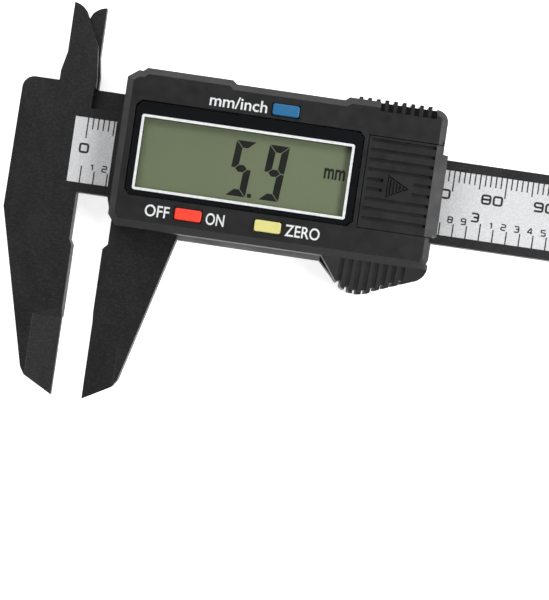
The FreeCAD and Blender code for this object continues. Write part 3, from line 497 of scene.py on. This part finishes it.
class Finish(Enum):
    """The finishes of the caliper's pieces."""

    COMPOSITE = Composite("carbon_composite", (0.008, 0.008, 0.0085), (0.019, 0.019, 0.02))
    CASE = Moulding("case_black", (0.0105, 0.0105, 0.0115), roughness=0.42)
    HOLDER = Moulding("holder_black", (0.03, 0.03, 0.03), roughness=0.55)
    FILM = Film("silver_film", (0.745, 0.75, 0.76))
    SCALE_INK = Ink("scale_ink", (0.018, 0.018, 0.02), roughness=0.45)
    WHITE_INK = Ink("white_print", (0.78, 0.79, 0.8), roughness=0.5)
    TRIM = Ink("white_line", (0.8, 0.82, 0.82), roughness=0.35)
    SEGMENT = Ink("display_segment", (0.006, 0.007, 0.006), roughness=0.35)
    MASK = Moulding("window_black", (0.004, 0.0045, 0.006), roughness=0.16, cloud=0.1,
                    grain_strength=0.02, mirror=0.3)
    DISPLAY = Polariser("display_film", (0.2, 0.235, 0.14))
    REFLECTOR = Polariser("display_reflector", (0.3, 0.33, 0.25))
    PANE = Pane("clear_pane", (0.97, 0.98, 0.97))
    GLASS = Pane("display_glass", (0.9, 0.93, 0.9))
    BLUE = Moulding("key_blue", (0.022, 0.15, 0.33), roughness=0.38, cloud=0.08)
    RED = Moulding("key_red", (0.92, 0.06, 0.035), roughness=0.38, cloud=0.06)
    YELLOW = Moulding("key_yellow", (0.75, 0.71, 0.26), roughness=0.38, cloud=0.05)
    STEEL = Metal("rolled_steel", (0.6, 0.6, 0.61))
    SCREW = Metal("zinc_plate", (0.5, 0.5, 0.52), roughness=0.35, stretch=(1.0, 1.0, 0.2))
    CELL = Metal("cell_nickel", (0.68, 0.68, 0.67), roughness=0.25, stretch=(1.0, 1.0, 0.1))
    LAMINATE = Ink("green_laminate", (0.02, 0.13, 0.06), roughness=0.35)
    RUBBER = Moulding("connector_rubber", (0.05, 0.05, 0.055), roughness=0.6)
    EPOXY = Moulding("epoxy_drop", (0.008, 0.008, 0.008), roughness=0.25)
    CERAMIC = Ink("chip_ceramic", (0.35, 0.25, 0.15), roughness=0.4)

    def material(self) -> bpy.types.Material:
        """The finish's material, made on first use."""
        return bpy.data.materials.get(self.value.name) or self.value.build()


def dress(piece: bpy.types.Object, finish: Finish) -> None:
    """Give every face of a piece one finish."""
    piece.data.materials.clear()
    piece.data.materials.append(finish.material())


def mount(piece: bpy.types.Object, body: str, finish: Finish) -> None:
    """Finish a new piece and make it ride on a body.

    Args:
        piece: the new piece.
        body: name of the CAD body that it moves with.
        finish: its finish.
    """
    dress(piece, finish)
    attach(piece, body)
    LOG.info("piece %s on %s, %d faces", piece.name, body, len(piece.data.polygons))


# --------------------------------------------------------------------------- moulded pieces

@dataclass(frozen=True)
class Softened:
    """A moulded piece of the frame, shown with the small radii that a mould leaves."""

    node: str
    body: str
    finish: Finish
    slot: str
    radius: float = 0.00016
    segments: int = 2
    sharp_above: float = math.radians(28)

    def build(self) -> bpy.types.Object:
        """Copy the node's mesh, merge it, round its sharp edges and let the copy stand for it.

        Returns:
            The visible piece.
        """
        work = bmesh.new()
        work.from_mesh(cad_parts[self.node].data)
        bmesh.ops.remove_doubles(work, verts=work.verts, dist=2e-6)
        bmesh.ops.dissolve_limit(work, angle_limit=math.radians(0.4), verts=work.verts,
                                 edges=work.edges, use_dissolve_boundaries=False)
        sharp = [edge for edge in work.edges
                 if edge.is_manifold and edge.calc_face_angle(0.0) > self.sharp_above]
        bmesh.ops.bevel(work, geom=sharp, offset=self.radius, offset_type="OFFSET",
                        segments=self.segments, profile=0.5, affect="EDGES",
                        clamp_overlap=True, loop_slide=True)
        bmesh.ops.triangulate(work, faces=[face for face in work.faces if len(face.verts) > 4])
        for face in work.faces:
            face.smooth = True
        for edge in work.edges:
            edge.smooth = edge.calc_face_angle(0.0) < self.sharp_above
        mesh = bpy.data.meshes.new(self.node + "_shell")
        work.to_mesh(mesh)
        work.free()
        piece = bpy.data.objects.new(self.node + "_shell", mesh)
        bpy.context.scene.collection.objects.link(piece)
        even = piece.modifiers.new("even_normals", "WEIGHTED_NORMAL")
        even.keep_sharp, even.weight = True, 100
        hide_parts(self.node)
        dress(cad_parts[self.node], self.finish)
        mount(piece, self.body, self.finish)
        return piece


# --------------------------------------------------------------------------- printed scale

class Glyphs:
    """Squarish single-stroke figures on a grid 1 wide and 1 high, drawn with a round-cornered pen."""

    STROKES = {
        "0": [([(0, 0), (1, 0), (1, 1), (0, 1)], True)],
        "1": [([(0.45, 0.78), (0.85, 1), (0.85, 0)], False)],
        "2": [([(0, 1), (1, 1), (1, 0.52), (0, 0.52), (0, 0), (1, 0)], False)],
        "3": [([(0, 1), (1, 1), (1, 0), (0, 0)], False), ([(0.3, 0.52), (1, 0.52)], False)],
        "4": [([(0.8, 0), (0.8, 1), (0.6, 1), (0, 0.3), (0, 0.25), (1.05, 0.25)], False)],
        "5": [([(1, 1), (0, 1), (0, 0.55), (1, 0.55), (1, 0), (0, 0)], False)],
        "6": [([(1, 1), (0, 1), (0, 0), (1, 0), (1, 0.55), (0, 0.55)], False)],
        "7": [([(0, 1), (1, 1), (0.4, 0)], False)],
        "8": [([(0, 0), (1, 0), (1, 1), (0, 1)], True), ([(0, 0.52), (1, 0.52)], False)],
        "9": [([(0, 0), (1, 0), (1, 1), (0, 1), (0, 0.48), (1, 0.48)], False)],
    }

    def __init__(self, wide: float, tall: float, pen: float, gap: float) -> None:
        """Set the figure's outer width, height, pen width and the gap between figures."""
        self.wide, self.tall, self.pen, self.gap = wide, tall, pen, gap

    def number(self, text: str, right: float, low: float, level: float,
               thick: float) -> list[tuple[np.ndarray, list]]:
        """Strokes of a number that ends at a place.

        Args:
            text: the figures.
            right: X of the number's right edge.
            low: Y of its lower edge.
            level: height of the surface it's printed on.
            thick: thickness of the ink.

        Returns:
            One point and face set for each stroke.
        """
        size = np.array([self.wide - self.pen, self.tall - self.pen])
        parts = []
        for place, figure in enumerate(reversed(text)):
            left = right - self.wide - place * (self.wide + self.gap)
            corner = np.array([left, low]) + self.pen / 2
            for corners, closed in self.STROKES[figure]:
                path = rounded(np.array(corners, float) * size + corner, self.wide * 0.22, closed)
                parts.append(ribbon(path, self.pen, level, level + thick))
        return parts


@dataclass
class PrintedScale:
    """Marks and figures printed on the beam's silver label."""

    mm_count: int = 150
    inch_count: int = 6
    inch: float = 25.4 * MM
    tick_wide: float = 0.24 * MM
    mm_shift: float = -0.2 * MM
    inch_shift: float = -0.25 * MM
    mm_tick: float = 2.1 * MM
    five_tick: float = 2.8 * MM
    ten_tick: float = 3.9 * MM
    tenth_tick: float = 2.4 * MM
    inch_tick: float = 3.2 * MM
    ink: float = 0.02 * MM
    zero_right: float = 0.7 * MM
    zero_drop: float = 6.8 * MM
    ten_shift: float = -0.45 * MM
    ten_drop: float = 5.5 * MM
    tenth_shift: float = -0.45 * MM
    tenth_rise: float = 2.5 * MM
    whole_shift: float = -0.65 * MM
    whole_rise: float = 3.3 * MM
    large: Glyphs = field(default_factory=lambda: Glyphs(1.95 * MM, 1.95 * MM, 0.4 * MM, 0.25 * MM))
    small: Glyphs = field(default_factory=lambda: Glyphs(1.05 * MM, 1.3 * MM, 0.24 * MM, 0.15 * MM))
    middle: Glyphs = field(default_factory=lambda: Glyphs(1.65 * MM, 1.85 * MM, 0.36 * MM, 0.3 * MM))

    def build(self) -> None:
        """Print the two rows of marks and their figures."""
        low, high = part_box("scale_label")
        level = high.z
        mark = np.arange(self.mm_count + 1)
        long = np.where(mark % 10 == 0, self.ten_tick,
                        np.where(mark % 5 == 0, self.five_tick, self.mm_tick))
        upper = self.ticks(mark * MM + self.mm_shift, high.y - long, np.full(len(mark), high.y), level)
        tenth = np.arange(self.inch_count * 10 + 1)
        long = np.where(tenth % 10 == 0, self.inch_tick, self.tenth_tick)
        lower = self.ticks(tenth * self.inch / 10 + self.inch_shift, np.full(len(tenth), low.y),
                           low.y + long, level)
        marks = new_piece("scale_marks", *join([upper, lower]))
        mount(marks, "beam", Finish.SCALE_INK)
        parts = self.large.number("0", self.zero_right, high.y - self.zero_drop, level, self.ink)
        for ten in range(10, self.mm_count + 1, 10):
            parts += self.large.number(str(ten), ten * MM + self.ten_shift,
                                       high.y - self.ten_drop, level, self.ink)
        for tenth_mark in range(1, self.inch_count * 10 + 1):
            place = tenth_mark * self.inch / 10
            whole, rest = divmod(tenth_mark, 10)
            if rest:
                parts += self.small.number(str(rest), place + self.tenth_shift,
                                           low.y + self.tenth_rise, level, self.ink)
            else:
                parts += self.middle.number(str(whole), place + self.whole_shift,
                                            low.y + self.whole_rise, level, self.ink)
        figures = new_piece("scale_figures", *join(parts))
        mount(figures, "beam", Finish.SCALE_INK)

    def ticks(self, across: np.ndarray, lows: np.ndarray, highs: np.ndarray,
              level: float) -> tuple[np.ndarray, list]:
        """Thin upright bars of ink.

        Args:
            across: X of each mark's middle.
            lows: Y where each begins.
            highs: Y where each ends.
            level: height of the label's face.

        Returns:
            The points and faces of all marks.
        """
        count = len(across)
        first = np.column_stack([across - self.tick_wide / 2, lows, np.full(count, level)])
        last = np.column_stack([across + self.tick_wide / 2, highs,
                                np.full(count, level + self.ink)])
        return boxes(first, last)


# --------------------------------------------------------------------------- lettering

def lettering(name: str, text: str, left: float, low: float, wide: float, tall: float, level: float,
              thick: float, stretch_to: str, weight: float) -> bpy.types.Object:
    """Printed word, scaled so that its capitals have a given height and the word a given width.

    Args:
        name: name of the piece.
        text: the word.
        left: X of its left edge.
        low: Y of its baseline.
        wide: width of the word.
        tall: height of the letter named by stretch_to.
        level: height of the surface.
        thick: thickness of the print.
        stretch_to: letter whose height is tall.
        weight: how far the strokes are fattened, as a share of the letter size.

    Returns:
        The flat word as a mesh with its place in its points.
    """
    sizes = []
    for words in (stretch_to, text):
        curve = bpy.data.curves.new(name, "FONT")
        curve.body = words
        curve.resolution_u = 6
        curve.extrude = 0.5
        curve.offset = weight
        holder = bpy.data.objects.new(name, curve)
        bpy.context.scene.collection.objects.link(holder)
        bpy.context.view_layer.update()
        mesh = bpy.data.meshes.new_from_object(holder)
        bpy.data.objects.remove(holder)
        points = np.empty(len(mesh.vertices) * 3)
        mesh.vertices.foreach_get("co", points)
        sizes.append((points.reshape(-1, 3), mesh))
    capital = sizes[0][0][:, 1].max()
    points, mesh = sizes[1]
    start, end = points[:, 0].min(), points[:, 0].max()
    points[:, 0] = left + (points[:, 0] - start) * wide / (end - start)
    points[:, 1] = low + points[:, 1] * tall / capital
    points[:, 2] = level + (points[:, 2] + 0.5) * thick
    mesh.vertices.foreach_set("co", points.ravel())
    mesh.materials.clear()
    work = bmesh.new()
    work.from_mesh(mesh)
    bmesh.ops.remove_doubles(work, verts=work.verts, dist=1e-6)
    bmesh.ops.recalc_face_normals(work, faces=work.faces)
    work.to_mesh(mesh)
    work.free()
    mesh.update()
    piece = bpy.data.objects.new(name, mesh)
    bpy.context.scene.collection.objects.link(piece)
    return piece


# --------------------------------------------------------------------------- display

@dataclass
class Display:
    """Display film with its segments, under the window."""

    digit_tall: float = 10.3 * MM
    digit_wide: float = 3.7 * MM
    bar: float = 1.3 * MM
    split: float = 0.1 * MM
    lean: float = math.tan(math.radians(4.5))
    film_thick: float = 0.04 * MM
    segment_thick: float = 0.02 * MM
    digit_pitch: float = 6.15 * MM
    digits_rise: float = 1.55 * MM
    digits_inset: float = 22.4 * MM
    point_side: float = 0.75 * MM
    point_gap: float = 0.35 * MM
    unit_inset: float = 4.9 * MM
    unit_rise: float = 5.65 * MM
    unit_wide: float = 3.9 * MM
    unit_tall: float = 1.9 * MM
    unit_weight: float = 0.025

    # ends of each bar's middle line in a box 1 wide and 2 high
    BARS = {
        "top": ((0, 2), (1, 2)), "middle": ((0, 1), (1, 1)), "bottom": ((0, 0), (1, 0)),
        "high_left": ((0, 1), (0, 2)), "high_right": ((1, 1), (1, 2)),
        "low_left": ((0, 0), (0, 1)), "low_right": ((1, 0), (1, 1)),
    }
    FIGURES = {
        "5": ("top", "high_left", "middle", "low_right", "bottom"),
        "9": ("top", "high_left", "high_right", "middle", "low_right", "bottom"),
    }

    def build(self) -> None:
        """Lay the film on the display glass and the segments on the film."""
        low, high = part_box("lcd_front_glass")
        film_high = high.z + self.film_thick
        film = new_piece("display_film", *boxes(np.array([[low.x, low.y, high.z]]),
                                                np.array([[high.x, high.y, film_high]])))
        mount(film, "slider", Finish.DISPLAY)
        trim_low, trim_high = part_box("display_trim")
        base = trim_low.y + self.digits_rise
        first = trim_high.x - self.digits_inset
        parts = []
        for place, figure in enumerate("59"):
            parts += self.digit(figure, first + place * self.digit_pitch, base, film_high)
        point = np.array([[0, 0], [1, 0], [1, 1], [0, 1]]) * self.point_side
        point += np.array([first + self.digit_wide + self.point_gap, base])
        parts.append(prism(point, film_high, film_high + self.segment_thick))
        segments = new_piece("display_segments", *join(parts))
        mount(segments, "slider", Finish.SEGMENT)
        unit = lettering("display_unit", "mm", trim_high.x - self.unit_inset, base + self.unit_rise,
                         self.unit_wide, self.unit_tall, film_high, self.segment_thick, "m",
                         self.unit_weight)
        mount(unit, "slider", Finish.SEGMENT)

    def digit(self, figure: str, left: float, low: float, level: float) -> list[tuple[np.ndarray, list]]:
        """Bars of one figure.

        Each bar is a strip along its middle line with ends cut at 45 degrees, trimmed back so
        that neighbours leave a thin gap; the figure then leans by a shear of X with Y.

        Args:
            figure: the figure shown.
            left: X of its lower left corner.
            low: Y of its lower edge.
            level: height of the film's face.

        Returns:
            One prism for each bar.
        """
        half = self.bar / 2
        span = np.array([self.digit_wide - self.bar, (self.digit_tall - self.bar) / 2])
        centre = span * np.array([0.5, 1]) + half
        parts = []
        for name in self.FIGURES[figure]:
            start, end = (np.array(point) * span + half for point in self.BARS[name])
            along = (end - start) / np.linalg.norm(end - start)
            out = np.array([along[1], -along[0]])
            out = out * np.sign(np.dot((start + end) / 2 - centre, out))
            if not out.any():
                out = np.array([0.0, 1.0])
                reach = [(-half, -half), (-half, -half)]
            else:
                reach = [(half, -half) if abs(end_y - centre[1]) > half else (0.0, -half)
                         for end_y in (start[1], end[1])]
            cut = [(far - self.split, near - self.split) for far, near in reach]
            outline = np.array([
                start - along * cut[0][1] - out * half, start + along * self.split,
                start - along * cut[0][0] + out * half, end + along * cut[1][0] + out * half,
                end - along * self.split, end + along * cut[1][1] - out * half,
            ])
            area = np.sum(outline[:, 0] * np.roll(outline[:, 1], -1)
                          - outline[:, 1] * np.roll(outline[:, 0], -1))
            outline = outline if area > 0 else outline[::-1]
            outline = outline + np.column_stack([outline[:, 1] * self.lean, np.zeros(len(outline))])
            parts.append(prism(outline + np.array([left, low]), level, level + self.segment_thick))
        return parts


@dataclass
class WindowMask:
    """Black border printed on the window round its white line."""

    nip: float = 1.0 * MM
    edge: float = 0.12 * MM
    overlap: float = 0.2 * MM
    thick: float = 0.02 * MM

    def build(self) -> None:
        """Lay the border between the window's edge and the white line's middle."""
        low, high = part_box("display_window")
        inner_low, inner_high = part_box("display_trim")
        outer = np.array([[low.x, low.y + self.nip], [low.x + self.nip, low.y],
                          [high.x - self.nip, low.y], [high.x, low.y + self.nip],
                          [high.x, high.y - self.nip], [high.x - self.nip, high.y],
                          [low.x + self.nip, high.y], [low.x, high.y - self.nip]])
        outer -= np.sign(outer - outer.mean(axis=0)) * self.edge
        left, bottom = inner_low.x + self.overlap, inner_low.y + self.overlap
        right, top = inner_high.x - self.overlap, inner_high.y - self.overlap
        inner = np.array([[left, bottom], [left, bottom], [right, bottom], [right, bottom],
                          [right, top], [right, top], [left, top], [left, top]])
        rings = [(outer, high.z), (inner, high.z), (inner, high.z + self.thick),
                 (outer, high.z + self.thick)]
        count = len(outer)
        points = np.vstack([np.column_stack([ring, np.full(count, level)])
                            for ring, level in rings])
        here = np.arange(count)
        there = (here + 1) % count
        faces = []
        for side in range(len(rings)):
            first, second = side * count, (side + 1) % len(rings) * count
            faces += np.column_stack([first + there, first + here, second + here,
                                      second + there]).tolist()
        mask = new_piece("window_mask", points, faces)
        work = bmesh.new()
        work.from_mesh(mask.data)
        bmesh.ops.remove_doubles(work, verts=work.verts, dist=SAME_POINT)
        bmesh.ops.recalc_face_normals(work, faces=work.faces)
        work.to_mesh(mask.data)
        work.free()
        mount(mask, "slider", Finish.MASK)


@dataclass
class KeyLegends:
    """White words beside the three keys."""

    print_thick: float = 0.015 * MM
    capital: float = 2.1 * MM
    weight: float = 0.012
    flange: float = 0.4 * MM

    def build(self) -> None:
        """Print the words on the case's front, placed from the visible edges of the keys."""
        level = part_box("front_case")[1].z
        unit_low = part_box("mm_inch_button")[0]
        power_low, power_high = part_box("on_off_button")
        zero_low, zero_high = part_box("zero_button")
        # each word: its left edge, its baseline, its width and the letter that sets its height
        words = [
            ("legend_unit", "mm/inch", unit_low.x + self.flange - 11.6 * MM,
             unit_low.y + self.flange + 0.1 * MM, 10.6 * MM, "h"),
            ("legend_off", "OFF", power_low.x + self.flange - 5.5 * MM,
             power_low.y + self.flange - 0.1 * MM, 4.5 * MM, "F"),
            ("legend_on", "ON", power_high.x - self.flange + 0.85 * MM,
             power_low.y + self.flange - 0.1 * MM, 3.4 * MM, "N"),
            ("legend_zero", "ZERO", zero_high.x - self.flange + 0.8 * MM,
             zero_low.y + self.flange - 0.1 * MM, 6.4 * MM, "Z"),
        ]
        for name, text, left, low, wide, capital in words:
            piece = lettering(name, text, left, low, wide, self.capital, level, self.print_thick,
                              capital, self.weight)
            mount(piece, "slider", Finish.WHITE_INK)


@dataclass
class DoorHatch:
    """Upright ribs inside the battery door's engraved arrow."""

    count: int = 6
    rib_wide: float = 0.22 * MM
    arrow_start: float = 4.3 * MM
    arrow_long: float = 4.1 * MM
    arrow_half: float = 2.1 * MM
    arrow_middle: float = 0.7 * MM
    margin: float = 0.25 * MM
    least_reach: float = 0.08 * MM
    foot: float = 0.45 * MM
    head: float = 0.05 * MM

    def build(self) -> None:
        """Stand the ribs in the arrow, shorter towards its point.

        The arrow's half height falls in a straight line from its base to its point, so each rib's
        half length is that height at its place less a margin.
        """
        low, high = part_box("battery_door")
        start = low.x + self.arrow_start
        place = start + self.arrow_long * (np.arange(self.count) + 0.6) / (self.count + 1)
        reach = self.arrow_half * (1 - (place - start) / self.arrow_long) - self.margin
        reach = np.maximum(reach, self.least_reach)
        lows = np.column_stack([place - self.rib_wide / 2, self.arrow_middle - reach,
                                np.full(self.count, high.z - self.foot)])
        highs = np.column_stack([place + self.rib_wide / 2, self.arrow_middle + reach,
                                 np.full(self.count, high.z - self.head)])
        ribs = new_piece("door_arrow_ribs", *boxes(lows, highs))
        mount(ribs, "battery_door", Finish.CASE)


# --------------------------------------------------------------------------- assemblies

class Beam:
    """Beam with its label, circuit strip and end stop."""

    def build(self) -> None:
        """Build the beam's pieces and dress its nodes."""
        Softened("beam", "beam", Finish.COMPOSITE, "black_composite", radius=0.00018).build()
        Softened("end_stop", "beam", Finish.COMPOSITE, "black_composite", radius=0.0001).build()
        PrintedScale().build()
        for node, finish in (("scale_label", Finish.FILM), ("scale_circuit_strip", Finish.LAMINATE),
                             ("end_stop_screws", Finish.SCREW)):
            dress(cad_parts[node], finish)


class Slider:
    """Slider frame, case, window, keys, door and everything inside."""

    INSIDE = {
        "gib_spring": Finish.STEEL, "depth_rod": Finish.STEEL, "depth_rod_screw": Finish.SCREW,
        "circuit_board": Finish.LAMINATE, "controller_chip": Finish.EPOXY, "crystal": Finish.STEEL,
        "capacitors": Finish.CERAMIC, "switch_domes": Finish.STEEL, "battery": Finish.CELL,
        "negative_contact": Finish.STEEL, "positive_contact": Finish.STEEL,
        "display_window": Finish.PANE, "lcd_front_glass": Finish.GLASS,
        "lcd_rear_glass": Finish.GLASS, "lcd_reflector": Finish.REFLECTOR,
        "lcd_holder": Finish.HOLDER, "zebra_connector": Finish.RUBBER, "case_screws": Finish.SCREW,
    }
    KEYS = (("mm_inch_button", Finish.BLUE, "button_blue"), ("on_off_button", Finish.RED, "button_red"),
            ("zero_button", Finish.YELLOW, "button_yellow"))

    def build(self) -> None:
        """Build the slider's pieces and dress its nodes."""
        Softened("slider_frame", "slider", Finish.COMPOSITE, "black_composite", radius=0.00018).build()
        Softened("front_case", "slider", Finish.CASE, "case_plastic", radius=0.00018).build()
        Softened("battery_door", "battery_door", Finish.CASE, "case_plastic", radius=0.00012).build()
        Softened("display_trim", "slider", Finish.TRIM, "trim_white", radius=0.00005).build()
        Softened("display_window", "slider", Finish.PANE, "window_clear", radius=0.00008).build()
        for node, finish, slot in self.KEYS:
            Softened(node, node, finish, slot, radius=0.0001).build()
        for node, finish in self.INSIDE.items():
            dress(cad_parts[node], finish)
        Display().build()
        WindowMask().build()
        KeyLegends().build()
        DoorHatch().build()


# --------------------------------------------------------------------------- studio

@dataclass
class Lamp:
    """Rectangular soft light aimed at a point."""

    name: str
    place: tuple
    target: tuple
    wide: float
    tall: float
    power: float

    def build(self) -> None:
        """Make the lamp and turn it towards its target."""
        light = bpy.data.lights.new(self.name, "AREA")
        light.shape = "RECTANGLE"
        light.size, light.size_y, light.energy = self.wide, self.tall, self.power
        lamp = bpy.data.objects.new(self.name, light)
        lamp.location = self.place
        lamp.rotation_euler = (Vector(self.target) - Vector(self.place)).to_track_quat("-Z", "Y").to_euler()
        bpy.context.scene.collection.objects.link(lamp)


@dataclass
class Studio:
    """Floor, soft lights, sky and camera."""

    view_centre: tuple = (39.5 * MM, -22.85 * MM)
    view_tall: float = 113.4 * MM
    distance: float = 260 * MM
    roll: float = math.radians(8.3)
    film: float = 36.0
    floor_reach: float = 3.0
    sky: float = 0.2
    nearest: float = 0.01

    # name, place from the middle of the view, width, height and power
    LAMPS = (
        ("key_softbox", (-0.35, 0.62, 0.62), 0.9, 0.5, 5.6),
        ("right_high", (0.5, -0.05, 0.62), 0.3, 0.3, 3.4),
        ("right_strip", (0.6, 0.05, 0.16), 0.2, 0.5, 1.4),
        ("front_fill", (-0.1, -0.7, 0.4), 0.7, 0.3, 0.9),
    )

    def build(self) -> None:
        """Set the stage, the lamps, the sky and the camera."""
        scene = bpy.context.scene
        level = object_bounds()[0].z
        reach = self.floor_reach
        corners = np.array([[-reach, -reach, level], [reach, -reach, level],
                            [reach, reach, level], [-reach, reach, level]])
        floor = new_piece("floor", corners, [[0, 1, 2, 3]])
        floor.data.materials.append(Ground().build())
        floor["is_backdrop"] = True
        x, y = self.view_centre
        target = (x, y, 0.0)
        for name, (right, ahead, up), wide, tall, power in self.LAMPS:
            Lamp(name, (x + right, y + ahead, up), target, wide, tall, power).build()
        world = bpy.data.worlds.new("soft_sky")
        world.use_nodes = True
        world.node_tree.nodes["Background"].inputs[0].default_value = (1, 1, 1, 1)
        world.node_tree.nodes["Background"].inputs[1].default_value = self.sky
        scene.world = world
        scene.view_settings.view_transform = "Standard"
        lens = bpy.data.cameras.new("camera")
        lens.sensor_fit = "VERTICAL"
        lens.sensor_height = self.film
        lens.lens = self.film * self.distance / self.view_tall
        lens.clip_start = self.nearest
        camera = bpy.data.objects.new("camera", lens)
        camera.location = (x, y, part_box("scale_label")[1].z + self.distance)
        camera.rotation_euler = (0.0, 0.0, self.roll)
        scene.collection.objects.link(camera)
        scene.camera = camera


def main() -> None:
    """Build the caliper's assemblies and the studio in order."""
    logging.basicConfig(level=logging.INFO, format="%(message)s")
    for assembly in (Beam(), Slider(), Studio()):
        LOG.info("building %s", type(assembly).__name__)
        assembly.build()


if __name__ == "__main__":
    main()
